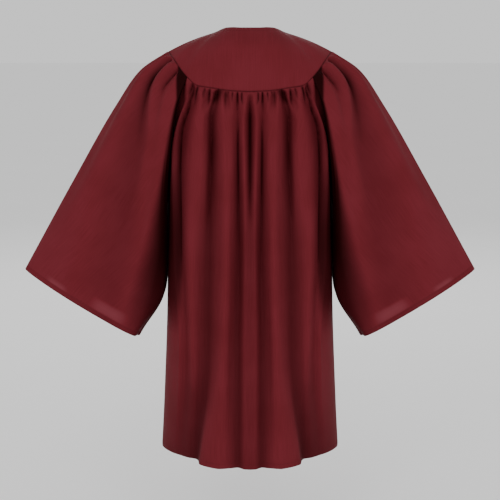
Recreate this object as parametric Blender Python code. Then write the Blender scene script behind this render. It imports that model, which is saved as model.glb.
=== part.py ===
"""A child's graduation gown, worn and filled out with no wearer, its back towards -Y.

The frame is in metres, +Z up, with its origin on the neck's axis at the height of the shoulders' high
points, where the wearer holds the gown up. -X is the wearer's left side and +Y the front. Tables are in
millimetres. A drop is a distance below the origin, and across is a distance sideways from the middle.
"""

import math
from collections import namedtuple

import bmesh
import bpy
import numpy as np
from mathutils import Matrix

MM = 0.001

# Driving sizes, in millimetres.
HEM_DROP = 683.0
UNDERARM_DROP = 268.0
SLEEVE_REACH = 365.0
CUFF_DROP = 384.0
CUFF_LOW_ACROSS = 180.0
CUFF_LOW_DROP = 494.0
CUFF_HALF_DEPTH = 42.0
CLOTH = 1.1
SEAM_GAP = 0.45
GATHER_RUN = 9.0
ARMHOLE_RUN = 170.0
FOLD_FULLNESS = 1.3

# The zip, in millimetres. Heights are out of the inner side of the fronts, and reaches are from the middle.
ZIP_START_DROP = 105.5
ZIP_END_DROP = 668.0
TAPE_REACH = (2.9, 8.0, 13.0)
TAPE_HEIGHT = -0.6
TAPE_THICK = 0.8
CHAIN_REACH = (-2.6, 0.0, 2.6)
CHAIN_HEIGHT = -0.2
CHAIN_THICK = 1.7
SLIDER_TOP_DROP = 100.6
SLIDER_HALF_WIDTH = 3.6
BRIDGE_HALF_WIDTH = 0.8
PIVOT_DOWN = 3.6
PIVOT_HEIGHT = 2.3
TAB_THICK = 1.0

MAROON = (0.158, 0.018, 0.022, 1.0)
ZIP_MAROON = (0.110, 0.014, 0.018, 1.0)
ZIP_METAL = (0.150, 0.022, 0.026, 1.0)

# The body of the gown in level sections: half width, depth of the back and of the front, and the exponent
# of the outline, where 2 is an ellipse and more is squarer.
Section = namedtuple("Section", "drop half_width back front exponent")
BODY = (
    Section(60, 113, 82, 74, 2.9),
    Section(95, 120, 93, 84, 2.8),
    Section(150, 126, 100, 93, 2.5),
    Section(200, 128, 104, 98, 2.3),
    Section(300, 131, 108, 102, 2.1),
    Section(440, 134, 112, 106, 2.0),
    Section(600, 141.5, 117, 111, 1.8),
    Section(690, 147, 120, 114, 1.65),
)

# The yoke in rows from the middle of the back, over the shoulder, to the zip. Each row runs from the
# neckline to the yoke's lower edge, and rises above its chord by the bulge.
YokeRow = namedtuple("YokeRow", "name neck edge bulge")
YOKE = (
    YokeRow("back middle", (0, -47, 2), (0, -93, -94), 13),
    YokeRow("back inner", (13, -46, 2), (30, -92, -92.5), 13),
    YokeRow("back outer", (26, -41, 2.5), (58, -88, -88.5), 12),
    YokeRow("back corner", (36, -33, 2), (81, -80, -85), 10),
    YokeRow("back notch", (43, -22, 0), (97, -68, -72), 8),
    YokeRow("back slope", (47, -13, -2), (107, -54, -61), 6),
    YokeRow("back shoulder", (49, -6, -3.5), (118, -33, -47), 5),
    YokeRow("shoulder", (50, 2, -5), (129, 0, -35), 3),
    YokeRow("front shoulder", (49, 12, -10), (118, 31, -48), 3),
    YokeRow("front slope", (46.5, 25, -20), (108, 50, -61), 4),
    YokeRow("front notch", (42, 38, -33), (98, 62, -76), 4),
    YokeRow("front corner", (35, 51, -50), (85, 73, -97), 4),
    YokeRow("front outer", (24, 65, -70), (58, 83, -114), 4),
    YokeRow("front inner", (13, 76, -87), (30, 88.5, -122), 3),
    YokeRow("zip", (4.5, 83, -99), (4.5, 91, -126), 0),
)
SHOULDER_ROW = 7

# The armhole below the yoke, on the back and the front alike.
ArmholePoint = namedtuple("ArmholePoint", "drop across")
ARMHOLE = (
    ArmholePoint(70, 96),
    ArmholePoint(85, 102),
    ArmholePoint(107, 109),
    ArmholePoint(141, 118),
    ArmholePoint(165, 122.5),
    ArmholePoint(200, 127),
    ArmholePoint(240, 129.4),
    ArmholePoint(268, 130.2),
)

# The folds of the back, from the middle to the side, on both sides alike. Each row follows one ridge or
# crease down the gown, with its place across and how far it stands out of the body at each level.
FoldLine = namedtuple("FoldLine", "name across out")
BACK_LEVELS = (107, 138, 200, 335, 505, 683)
BACK_FOLDS = (
    FoldLine("middle crease", (0, 0, 0, 0, 0, 0), (-6, -11, -10, 0, 2, 0.5)),
    FoldLine("middle rib", (6, 10, 9, 8, 8, 8), (2, 3, 3, 0.5, 2, 0)),
    FoldLine("inner crease", (19, 19, 19, 17, 19, 19), (-6, -9, -10, -6, -5, -2)),
    FoldLine("inner ridge", (28, 28, 28, 27, 29, 32), (3, 3, 2, 1, 1, 3.5)),
    FoldLine("short crease", (35, 34, 33, 33, 35, 41), (-3, 3, 3, 2.5, 3, 6)),
    FoldLine("main ridge", (42, 39.5, 38.5, 38.5, 41, 53), (3.5, 4, 4, 4, 4.5, 8)),
    FoldLine("main lip", (46, 47, 47, 52, 58, 79), (1, 1, 1, 0, 1, 4)),
    FoldLine("broad crease", (50, 57, 58, 66, 73, 87), (-5, -6, -7, -5, -5, -6)),
    FoldLine("small ridge", (57, 64, 66, 75, 81, 92), (1, -3, -4, -3, -2, -7)),
    FoldLine("small crease", (63, 70, 73, 83, 88, 97), (-4, 1, 1, 1, 1, -6)),
    FoldLine("outer ridge", (73, 77, 81, 91, 96, 103), (3, 4, 5, 4, 3, -5)),
    FoldLine("outer crease", (86, 95, 105, 108, 106, 114), (-6, -9, -10, -6, -2, -8)),
    FoldLine("edge ridge", (96, 104, 114, 115, 114, 127), (0, 3, 3, 1, 2, -6)),
)

# The folds of a front, from the zip to the side. The first two rows are the flat edge along the zip.
FRONT_LEVELS = (132, 165, 240, 370, 520, 683)
FRONT_FOLDS = (
    FoldLine("zip edge", (4.5, 4.5, 4.5, 4.5, 4.5, 4.5), (0, 0, 0, 0, 0, 0)),
    FoldLine("placket", (14, 14, 15, 16, 16, 18), (1, 1, 1, 1, 1, 1)),
    FoldLine("first crease", (22, 23, 25, 26, 28, 32), (-6, -8, -8, -5, -5, -5)),
    FoldLine("first ridge", (31, 33, 37, 42, 45, 50), (3, 4, 5, 4, 4, 5)),
    FoldLine("second crease", (41, 44, 50, 57, 61, 68), (-6, -8, -8, -5, -4, -6)),
    FoldLine("second ridge", (52, 56, 64, 73, 78, 84), (3, 4, 5, 4, 4, 5)),
    FoldLine("third crease", (64, 69, 79, 87, 92, 98), (-6, -8, -7, -4, -3, -5)),
    FoldLine("third ridge", (77, 83, 94, 101, 106, 110), (3, 4, 5, 4, 3, 4)),
    FoldLine("fourth crease", (88, 95, 106, 112, 117, 122), (-6, -8, -8, -3, -2, -3)),
    FoldLine("edge ridge", (97, 104, 115, 120, 124, 130), (0, 3, 3, 1, 1, 1)),
)

# The folds of a sleeve's back half, from its top edge at 0 to the underarm seam at 1, at these shares of
# its length. The front half is the same with its own heights.
SleeveFold = namedtuple("SleeveFold", "name place back front")
SLEEVE_LEVELS = (0.03, 0.12, 0.30, 0.62, 1.0)
SLEEVE_FOLDS = (
    SleeveFold("top edge", (0, 0, 0, 0, 0), (0, 0, 0, 0, 0), (0, 0, 0, 0, 0)),
    SleeveFold("top gather", (0.06, 0.06, 0.07, 0.08, 0.1), (-2, -1, 0, 0, 0), (-2, -1, 0, 0, 0)),
    SleeveFold("top ridge", (0.11, 0.12, 0.14, 0.18, 0.22), (3, 3, 2, 1, 0), (3, 3, 3, 2, 1)),
    SleeveFold("long crease", (0.17, 0.24, 0.34, 0.44, 0.5), (-5, -7, -6, -5, -3), (-5, -6, -5, -4, -4)),
    SleeveFold("middle ridge", (0.27, 0.33, 0.42, 0.53, 0.6), (4, 2, -1, -1, -1), (4, 3, 1, 1, 1)),
    SleeveFold("short crease", (0.37, 0.39, 0.47, 0.58, 0.66), (-4, -2, 1, 1, 1), (-4, -3, -2, -1, -1)),
    SleeveFold("main ridge", (0.47, 0.49, 0.54, 0.62, 0.74), (3, 4, 4, 4, 3), (3, 3, 4, 3, 3)),
    SleeveFold("inner crease", (0.58, 0.60, 0.68, 0.78, 0.86), (0, 0, 0, 0, -1), (0, 0, 0, 0, -1)),
    SleeveFold("inner ridge", (0.72, 0.73, 0.80, 0.88, 0.93), (0, 0, 0, 0, 0), (0, 0, 0, 0, 0)),
    SleeveFold("underarm", (1, 1, 1, 1, 1), (0, 0, 0, 0, 0), (0, 0, 0, 0, 0)),
)

# The lines of the back half of the +X sleeve from the armhole to the cuff, by their share of the way from
# the top edge to the underarm seam: three points that each goes through, then where it ends on the cuff,
# in half turns from the outer corner. The front half is the same with its depths turned round.
SleeveLine = namedtuple("SleeveLine", "share near middle low turn")
SLEEVE_LINES = (
    SleeveLine(0.00, (172.5, 0, -64), (212, 0, -119), (280, 0, -234), 0.00),
    SleeveLine(0.20, (158, -36, -70), (191, -40, -122), (252, -33, -233), 0.24),
    SleeveLine(0.45, (131, -76, -102), (157, -75, -185), (200, -62, -315), 0.56),
    SleeveLine(0.63, (111, -89, -112), (130, -77, -205), (146, -50, -345), 0.76),
    SleeveLine(0.80, (133.5, -38, -240), (131.5, -28, -330), (136, -24, -408), 0.89),
    SleeveLine(1.00, (140, 0, -312), (142, 0, -370), (149, 0, -432), 1.00),
)

# How finely each piece is divided.
FOLD_STEP = 6.0
ARMHOLE_STEPS = 7
HEAD_STEPS = 12
YOKE_STEPS = 4
PANEL_ROWS = (0, 0.009, 0.022, 0.045, 0.08, 0.125, 0.18, 0.25, 0.33, 0.42, 0.52, 0.63, 0.75, 0.875, 1)
NORMAL_PASSES = 2
SLEEVE_ROWS = (0, 0.015, 0.04, 0.08, 0.13, 0.19, 0.27, 0.37, 0.49, 0.64, 0.81, 1)
ZIP_ROWS = 26


def smooth_step(value):
    """0 below 0, 1 above 1, and a smooth rise between them."""
    share = np.clip(value, 0.0, 1.0)
    return share * share * (3.0 - 2.0 * share)


def slopes(places, heights):
    """The slopes of a smooth line that turns only at its own points."""
    steps = np.diff(places)
    rises = np.diff(heights) / steps
    found = np.zeros(len(places))
    for i in range(1, len(places) - 1):
        before, after = rises[i - 1], rises[i]
        if before * after > 0:
            near, far = 2 * steps[i] + steps[i - 1], steps[i] + 2 * steps[i - 1]
            found[i] = (near + far) / (near / before + far / after)
    found[0], found[-1] = rises[0], rises[-1]
    return found


def smooth_line(places, heights, at):
    """The height at each place in at, on a smooth line through the points, level past its ends."""
    places, heights = np.asarray(places, float), np.asarray(heights, float)
    at = np.clip(np.asarray(at, float), places[0], places[-1])
    if len(places) == 2:
        return np.interp(at, places, heights)
    slope = slopes(places, heights)
    left = np.clip(np.searchsorted(places, at, side="right") - 1, 0, len(places) - 2)
    width = places[left + 1] - places[left]
    t = (at - places[left]) / width
    rest = 1 - t
    return (
        heights[left] * (1 + 2 * t) * rest**2
        + slope[left] * width * t * rest**2
        + heights[left + 1] * t**2 * (3 - 2 * t)
        + slope[left + 1] * width * t**2 * (t - 1)
    )


def body_size(column, drop):
    """One column of the body's table at a drop."""
    return float(smooth_line([s.drop for s in BODY], [getattr(s, column) for s in BODY], drop))


def body_angle(across, drop):
    """The angle round the body, from the middle of its back or front, of a place across."""
    share = min(0.9995, abs(across) / body_size("half_width", drop))
    return math.copysign(math.asin(share ** (body_size("exponent", drop) / 2)), across)


def body_point(angle, drop, front):
    """The point of the plain body, and its outward direction, on the back or the front."""
    width, exponent = body_size("half_width", drop), body_size("exponent", drop)
    depth = body_size("front" if front else "back", drop)
    facing = 1.0 if front else -1.0
    sine, cosine = math.sin(angle), round(math.cos(angle), 9)
    x = math.copysign(width * abs(sine) ** (2 / exponent), sine)
    y = facing * depth * cosine ** (2 / exponent)
    outward = np.array(
        [
            math.copysign(abs(x / width) ** (exponent - 1) / width, x),
            facing * abs(y / depth) ** (exponent - 1) / depth,
            0.0,
        ]
    )
    return np.array([x, y, -drop]), outward / np.linalg.norm(outward)


def yoke_rows(front):
    """The yoke's rows of the back or of the front, from the middle to the shoulder."""
    return YOKE[SHOULDER_ROW:][::-1] if front else YOKE[: SHOULDER_ROW + 1]


def yoke_point(column, across, front):
    """The point of the yoke's neckline or lower edge that goes with a place across its lower edge."""
    rows = yoke_rows(front)
    places = [row.edge[0] for row in rows]
    return np.array(
        [float(smooth_line(places, [getattr(row, column)[i] for row in rows], across)) for i in range(3)]
    )


def yoke_half(places, front):
    """Outer points of one side of the yoke, a column for each place across its lower edge."""
    rows = yoke_rows(front)
    bulges = smooth_line([row.edge[0] for row in rows], [row.bulge for row in rows], places)
    shares = np.linspace(0, 1, YOKE_STEPS + 1)
    columns = []
    for across, bulge in zip(places, bulges):
        neck, edge = (yoke_point(column, across, front) for column in ("neck", "edge"))
        chord = edge - neck
        reach = math.hypot(chord[0], chord[1])
        up = np.array([-chord[2] * chord[0] / reach, -chord[2] * chord[1] / reach, reach])
        up /= np.linalg.norm(up)
        points = [neck + chord * t + up * bulge * 4 * t * (1 - t) for t in shares[:-1]]
        columns.append(points + [edge])
    return np.array(columns).transpose(1, 0, 2)


def armhole_drop(share):
    """How far down the armhole is at a share of the way round from the yoke to the underarm."""
    return ARMHOLE[0].drop + (UNDERARM_DROP - ARMHOLE[0].drop) * (1 - (1 - share) ** 1.6)


def armhole_across(drop):
    """Where the armhole is across at a drop."""
    return float(smooth_line([p.drop for p in ARMHOLE], [p.across for p in ARMHOLE], drop))


def fold_columns(folds):
    """Column numbers, as a fold's number plus a share of the way to the next fold."""
    columns = []
    for number, (fold, after) in enumerate(zip(folds, folds[1:])):
        steps = max(2, round((after.across[2] - fold.across[2]) / FOLD_STEP))
        columns += [number + i / steps for i in range(steps)]
    return columns + [len(folds) - 1.0]


def seam_places(folds):
    """Where the columns of a half panel are across along the yoke's lower edge."""
    firsts = [fold.across[0] for fold in folds]
    return np.interp(fold_columns(folds), range(len(folds)), firsts)


def head_places(folds):
    """The places across along the edge that takes the sleeve, from the panel's corner to the shoulder."""
    return np.linspace(folds[-1].across[0], YOKE[SHOULDER_ROW].edge[0], HEAD_STEPS + 1)


def half_panel(folds, levels, front):
    """Outer points of one side of the back or the front, from the middle to the side seam on +X."""
    last = len(folds) - 1
    side = math.pi / 2
    shares = [i / ARMHOLE_STEPS for i in range(1, ARMHOLE_STEPS + 1)]
    tops = [yoke_point("edge", across, front) for across in seam_places(folds)]
    columns = [(column, top) for column, top in zip(fold_columns(folds), tops)]
    columns += [(last + share, None) for share in shares]
    found = []
    for column, top in columns:
        if top is None:
            top_drop = armhole_drop(column - last)
            top_angle = side if column == last + 1 else body_angle(armhole_across(top_drop), top_drop)
        else:
            top_drop = -top[2]
            top_angle = body_angle(top[0], top_drop)
        base = body_point(top_angle, top_drop, front)[0]
        shift = np.zeros(3) if top is None else top - base
        points = []
        for row in PANEL_ROWS:
            drop = top_drop + (HEM_DROP - top_drop) * row
            below = drop - top_drop
            angles = [body_angle(float(smooth_line(levels, f.across, drop)), drop) for f in folds] + [side]
            heights = [float(smooth_line(levels, f.out, drop)) for f in folds] + [0.0]
            free = float(np.interp(column, range(last + 2), angles))
            held = float(smooth_step(below / 90.0))
            angle = top_angle + (free - top_angle) * held
            point, outward = body_point(angle, drop, front)
            run = GATHER_RUN if top is not None else ARMHOLE_RUN
            out = float(smooth_line(angles, heights, angle)) * float(smooth_step(below / run))
            points.append(point + shift * (1 - held) + outward * out * FOLD_FULLNESS)
        found.append(points)
    return np.array(found).transpose(1, 0, 2)


def grid_normals(grid, closed=False):
    """The outward direction at each point of a grid of rows and columns."""
    if closed:
        along = np.roll(grid, -1, axis=1) - np.roll(grid, 1, axis=1)
    else:
        along = np.gradient(grid, axis=1)
    normals = np.cross(np.gradient(grid, axis=0), along)
    return normals / np.linalg.norm(normals, axis=2, keepdims=True)


def evened(normals, closed):
    """Directions shared with their neighbours, so that a wall under a tight fold doesn't cross itself."""
    for _ in range(NORMAL_PASSES):
        if closed:
            beside = np.roll(normals, 1, axis=1) + np.roll(normals, -1, axis=1)
        else:
            padded = np.pad(normals, ((0, 0), (1, 1), (0, 0)), mode="edge")
            beside = padded[:, :-2] + padded[:, 2:]
        padded = np.pad(normals, ((1, 1), (0, 0), (0, 0)), mode="edge")
        normals = 2 * normals + beside + 0.5 * (padded[:-2] + padded[2:])
        normals = normals / np.linalg.norm(normals, axis=2, keepdims=True)
    return normals


def mirrored(grid):
    """A grid on the other side of the gown, with its columns turned round."""
    return (grid * np.array([-1.0, 1.0, 1.0]))[:, ::-1]


def whole(half):
    """A grid that goes on over the middle of the back."""
    return np.concatenate([mirrored(half)[:, :-1], half], axis=1)


def sleeve_ring(back, front):
    """The +X armhole as a ring from the shoulder, down the back and up the front."""
    back_head = [yoke_point("edge", across, False) for across in head_places(BACK_FOLDS)]
    front_head = [yoke_point("edge", across, True) for across in head_places(FRONT_FOLDS)]
    back_arm, front_arm = back[0, -ARMHOLE_STEPS:], front[0, -ARMHOLE_STEPS:]
    return np.concatenate([back_head[::-1], back_arm, front_arm[::-1][1:], front_head[:-1]])


def cuff_point(turn):
    """The point of the +X cuff at an angle from its outer corner, towards the back first."""
    outer = np.array([SLEEVE_REACH, 0.0, -CUFF_DROP])
    inner = np.array([CUFF_LOW_ACROSS, 0.0, -CUFF_LOW_DROP])
    middle, arm = (outer + inner) / 2, (outer - inner) / 2
    depth = CUFF_HALF_DEPTH * math.sin(turn) * (1 - 0.38 * math.cos(turn))
    return middle + arm * math.cos(turn) + np.array([0.0, -depth, 0.0])


def along_lines(column, share):
    """One column of the table of sleeve lines at a share, for each of its numbers."""
    shares = [line.share for line in SLEEVE_LINES]
    rows = np.array([getattr(line, column) for line in SLEEVE_LINES], float).reshape(len(shares), -1)
    return np.array([float(smooth_line(shares, numbers, share)) for numbers in rows.T])


def sleeve_run(start, share, facing):
    """The plain line of the +X sleeve from a point of its armhole to its cuff."""
    turned = np.array([1.0, -facing, 1.0])
    middle = [along_lines(column, share) * turned for column in ("near", "middle", "low")]
    points = np.array([start, *middle, cuff_point(-facing * math.pi * along_lines("turn", share)[0])])
    lengths = np.linalg.norm(np.diff(points, axis=0), axis=1)
    places = np.concatenate([[0.0], np.cumsum(lengths)]) / lengths.sum()
    return np.array([smooth_line(places, numbers, SLEEVE_ROWS) for numbers in points.T]).T


def sleeve_grid(ring):
    """Outer points of the +X sleeve, rows from the armhole to the cuff, columns round the ring."""
    count = len(ring)
    half = count // 2
    sides = [(number > half, min(number, count - number) / half) for number in range(count)]
    lines = [sleeve_run(start, share, 1.0 if front else -1.0) for start, (front, share) in zip(ring, sides)]
    plain = np.array(lines).transpose(1, 0, 2)[:, ::-1]
    normals = grid_normals(plain, closed=True)[:, ::-1]
    folded = plain[:, ::-1].copy()
    for number, (front, share) in enumerate(sides):
        for row, length in enumerate(SLEEVE_ROWS):
            line = [float(smooth_line(SLEEVE_LEVELS, fold.place, length)) for fold in SLEEVE_FOLDS]
            heights = [fold.front if front else fold.back for fold in SLEEVE_FOLDS]
            levels = [float(smooth_line(SLEEVE_LEVELS, height, length)) for height in heights]
            out = float(smooth_line(line, levels, share)) * float(smooth_step(length * 430 / GATHER_RUN))
            folded[row, number] += normals[row, number] * out * FOLD_FULLNESS
    return folded


class Sheet:
    """A cloth piece as a grid of outer points in rows from its top edge down."""

    def __init__(self, name, grid, closed=False):
        self.name = name
        self.grid = grid
        self.closed = closed
        self.normals = evened(grid_normals(grid, closed), closed)
        self.moves = np.zeros_like(grid)

    def edge_spots(self):
        """Each point on the piece's edge, and the direction square to the edge and into the piece."""
        rows, columns = self.grid.shape[:2]
        last_row, last_column = rows - 1, columns - 1
        inward = {}
        for column in range(columns):
            for row, after in ((0, 1), (last_row, last_row - 1)):
                before, beyond = column - 1, column + 1
                if self.closed:
                    beyond %= columns
                else:
                    before, beyond = max(before, 0), min(beyond, last_column)
                inward[row, column] = self.inward((row, column), (after, column), (row, before), (row, beyond))
        if self.closed:
            return inward
        for row in range(rows):
            for column, after in ((0, 1), (last_column, last_column - 1)):
                ends = (max(row - 1, 0), column), (min(row + 1, last_row), column)
                sideways = self.inward((row, column), (row, after), *ends)
                inward[row, column] = inward.get((row, column), 0) + sideways
        return inward

    def inward(self, spot, after, before, beyond):
        """The direction from a point towards another, square to the edge from before to beyond."""
        way = self.grid[after] - self.grid[spot]
        edge = self.grid[beyond] - self.grid[before]
        edge /= np.linalg.norm(edge)
        way = way - edge * np.dot(way, edge)
        return way / np.linalg.norm(way)

    def walls(self):
        """The outer and the inner points of the piece, drawn back at its seams."""
        outer = self.grid + self.moves
        return outer, outer - self.normals * CLOTH

    def mirror(self, name):
        """The same piece on the other side of the gown."""
        return Sheet(name, mirrored(self.grid), self.closed)


def sew(sheets):
    """Draws the sheets that meet apart by a seam's gap, with one direction for their thickness.

    A sleeve counts as much there as all the pieces that it meets.
    """
    meetings = {}
    for sheet in sheets:
        for spot, into in sheet.edge_spots().items():
            meetings.setdefault(tuple(sheet.grid[spot]), []).append((sheet, spot, into))
    for met in meetings.values():
        if len(met) < 2:
            continue
        total = sum(sheet.normals[spot] * (len(met) - 1 if sheet.closed else 1) for sheet, spot, _ in met)
        everyway = sum(into for _, _, into in met)
        for sheet, spot, into in met:
            away = into - (everyway - into) / (len(met) - 1)
            sheet.normals[spot] = total / np.linalg.norm(total)
            sheet.moves[spot] = away / np.linalg.norm(away) * SEAM_GAP / 2


def new_material(name, colour, roughness, metallic=0.0):
    """A plain finish in one colour."""
    material = bpy.data.materials.new(name)
    material.use_nodes = True
    shader = material.node_tree.nodes["Principled BSDF"]
    shader.inputs["Base Color"].default_value = colour
    shader.inputs["Roughness"].default_value = roughness
    shader.inputs["Metallic"].default_value = metallic
    return material


def finish_object(name, mesh, material):
    """Puts a finished mesh in the scene under its own name."""
    mesh.shade_smooth()
    mesh.set_sharp_from_angle(angle=math.radians(50))
    mesh.materials.append(material)
    obj = bpy.data.objects.new(name, mesh)
    bpy.context.scene.collection.objects.link(obj)
    return obj


def two_triangles(a, b, c, d):
    """The corners of a four-sided patch as two triangles that meet on its shorter diagonal."""
    if (a.co - c.co).length <= (b.co - d.co).length:
        return (a, b, c), (a, c, d)
    return (b, c, d), (b, d, a)


def wall(name, outer, inner, material, closed=False):
    """A closed wall between an outer and an inner grid of points, both split along the same diagonals."""
    rows, columns = outer.shape[:2]
    work = bmesh.new()
    front, back = ([[work.verts.new(point * MM) for point in row] for row in grid] for grid in (outer, inner))
    behind = {near: far for fronts, backs in zip(front, back) for near, far in zip(fronts, backs)}
    spans = [(c, (c + 1) % columns) for c in range(columns if closed else columns - 1)]
    for upper, lower in zip(front, front[1:]):
        for c, n in spans:
            for corners in two_triangles(upper[c], lower[c], lower[n], upper[n]):
                work.faces.new(corners)
                work.faces.new([behind[corner] for corner in corners[::-1]])
    rim = [(front[0][c], front[0][n]) for c, n in spans] + [(front[-1][n], front[-1][c]) for c, n in spans]
    if not closed:
        for upper, lower in zip(front, front[1:]):
            rim += [(lower[0], upper[0]), (upper[-1], lower[-1])]
    for start, end in rim:
        for corners in two_triangles(start, end, behind[end], behind[start]):
            work.faces.new(corners)
    mesh = bpy.data.meshes.new(name)
    work.to_mesh(mesh)
    work.free()
    return finish_object(name, mesh, material)


def zip_line(front_half, drop):
    """How far forward the inner side of the fronts is along the zip."""
    neck = YOKE[-1].neck
    drops = [-neck[2]] + list(-front_half[:, 0, 2])
    return float(np.interp(drop, drops, [neck[1]] + list(front_half[:, 0, 1]))) - CLOTH


def zip_strip(name, front_half, reaches, height, thick, material):
    """A strip that follows the zip, between these places across."""
    rows = []
    for drop in np.linspace(ZIP_START_DROP, ZIP_END_DROP, ZIP_ROWS):
        y = zip_line(front_half, drop) + height
        rows.append([[x, y - x * x / 240, -drop] for x in sorted(reaches, reverse=True)])
    outer = np.array(rows)
    wall(name, outer, outer - np.array([0.0, thick, 0.0]), material)


def extruded(name, profile, half_width):
    """A solid of one outline in down and out, from side to side of the zip."""
    work = bmesh.new()
    left, right = ([work.verts.new((x, out, -down)) for down, out in profile] for x in (-half_width, half_width))
    work.faces.new(left)
    work.faces.new(right[::-1])
    for i in range(len(profile)):
        n = (i + 1) % len(profile)
        work.faces.new([left[n], left[i], right[i], right[n]])
    bmesh.ops.recalc_face_normals(work, faces=work.faces)
    mesh = bpy.data.meshes.new(name)
    work.to_mesh(mesh)
    work.free()
    return mesh


def on_zip(mesh, front_half):
    """Puts a mesh made in down and out at the top of the zip, leaning as the front leans."""
    top = SLIDER_TOP_DROP
    start, end = zip_line(front_half, top), zip_line(front_half, top + 20)
    lean = math.atan2(end - start, 20)
    place = Matrix.Translation((0, start, -top)) @ Matrix.Rotation(lean, 4, "X")
    mesh.transform(Matrix.Scale(MM, 4) @ place)


def slider(front_half, material):
    """The zip's slider: two plates joined above the chain, and a bridge for the tab."""
    low = CHAIN_HEIGHT - CHAIN_THICK - 0.4
    plates = ((0, 1.3), (9, 1.3), (9, 0.2), (3.9, 0.2), (3.9, low), (9, low), (9, low - 1), (0, low - 1))
    arch = ((1.0, 1.0), (1.0, 3.7), (1.6, 4.3), (6.6, 4.3), (7.2, 3.7), (7.2, 1.0))
    inside = ((6.2, 1.0), (6.2, 3.3), (2.0, 3.3), (2.0, 1.0))
    mesh = extruded("slider", plates, SLIDER_HALF_WIDTH)
    on_zip(mesh, front_half)
    bridge_mesh = extruded("bridge", arch + inside, BRIDGE_HALF_WIDTH)
    on_zip(bridge_mesh, front_half)
    bridge = bpy.data.objects.new("bridge", bridge_mesh)
    bpy.context.scene.collection.objects.link(bridge)
    bridge.hide_render = True
    obj = finish_object("slider", mesh, material)
    join = obj.modifiers.new("join", "BOOLEAN")
    join.operation = "UNION"
    join.object = bridge


def pull_tab(front_half, material):
    """The zip's tab, with a bar at its top that turns under the slider's bridge."""
    near, far = PIVOT_HEIGHT - TAB_THICK / 2, PIVOT_HEIGHT + TAB_THICK / 2
    top, bottom = PIVOT_DOWN - 0.5, PIVOT_DOWN + 19.0
    outer = ((top, 2.5), (top + 6, 2.5), (bottom - 1.5, 3.1), (bottom, 2.0))
    inner = ((top + 1.0, 1.5), (top + 4.9, 1.5))
    outline = [(-x, down) for down, x in outer] + [(x, down) for down, x in outer[::-1]]
    window = [(-x, down) for down, x in inner] + [(x, down) for down, x in inner[::-1]]
    work = bmesh.new()
    layers = []
    for out in (near, far):
        rim = [work.verts.new((x, out, -down)) for x, down in outline]
        hole = [work.verts.new((x, out, -down)) for x, down in window]
        layers.append((rim, hole))
        faces = [
            [rim[0], rim[1], hole[1], hole[0]],
            [rim[1], rim[6], hole[2], hole[1]],
            [rim[6], rim[7], hole[3], hole[2]],
            [rim[7], rim[0], hole[0], hole[3]],
            [rim[1], rim[2], rim[5], rim[6]],
            [rim[2], rim[3], rim[4], rim[5]],
        ]
        for face in faces:
            work.faces.new(face)
    for first, second in zip(*layers):
        for i in range(len(first)):
            n = (i + 1) % len(first)
            work.faces.new([first[i], first[n], second[n], second[i]])
    bmesh.ops.recalc_face_normals(work, faces=work.faces)
    mesh = bpy.data.meshes.new("pull_tab")
    work.to_mesh(mesh)
    work.free()
    on_zip(mesh, front_half)
    finish_object("pull_tab", mesh, material)


def fastening(front_half):
    """The zip that closes the fronts."""
    tape = new_material("zip_tape", ZIP_MAROON, 0.8)
    coil = new_material("zip_coil", ZIP_MAROON, 0.45)
    metal = new_material("zip_metal", ZIP_METAL, 0.35, 0.6)
    left = [-x for x in TAPE_REACH]
    zip_strip("zip_tape_right", front_half, TAPE_REACH, TAPE_HEIGHT, TAPE_THICK, tape)
    zip_strip("zip_tape_left", front_half, left, TAPE_HEIGHT, TAPE_THICK, tape)
    zip_strip("zip_chain", front_half, CHAIN_REACH, CHAIN_HEIGHT, CHAIN_THICK, coil)
    slider(front_half, metal)
    pull_tab(front_half, metal)


def main():
    """Builds every piece of the gown."""
    for obj in list(bpy.data.objects):
        bpy.data.objects.remove(obj)
    cloth = new_material("maroon_cloth", MAROON, 0.75)
    back_half = half_panel(BACK_FOLDS, BACK_LEVELS, False)
    front_half = half_panel(FRONT_FOLDS, FRONT_LEVELS, True)
    back_places = np.concatenate([seam_places(BACK_FOLDS), head_places(BACK_FOLDS)[1:]])
    front_places = np.concatenate([seam_places(FRONT_FOLDS), head_places(FRONT_FOLDS)[1:]])
    front_right = Sheet("front_right", front_half[:, ::-1])
    yoke_right = Sheet("front_yoke_right", yoke_half(front_places, True)[:, ::-1])
    sleeve_right = Sheet("sleeve_right", sleeve_grid(sleeve_ring(back_half, front_half))[:, ::-1], True)
    sheets = [
        Sheet("back_panel", whole(back_half)),
        Sheet("back_yoke", whole(yoke_half(back_places, False))),
        front_right,
        front_right.mirror("front_left"),
        yoke_right,
        yoke_right.mirror("front_yoke_left"),
        sleeve_right,
        sleeve_right.mirror("sleeve_left"),
    ]
    sew(sheets)
    for sheet in sheets:
        outer, inner = sheet.walls()
        wall(sheet.name, outer, inner, cloth, sheet.closed)
    fastening(front_half)


main()
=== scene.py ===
"""Dresses a child's graduation gown, seen from its back, as sewn maroon cloth with a zip.

Tables are in millimetres, in the gown's own frame: -X is the wearer's left, +Y the front, and the origin
is on the neck's axis at the shoulders' height. A drop is a distance below the origin, and across is a
distance sideways from the middle. Each sheet of cloth is a grid of outer points in rows from the top down.
"""

import logging
import math
from collections.abc import Callable
from dataclasses import dataclass, field
from enum import Enum

import bmesh
import bpy
import numpy as np
from mathutils import Matrix, Vector


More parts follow.
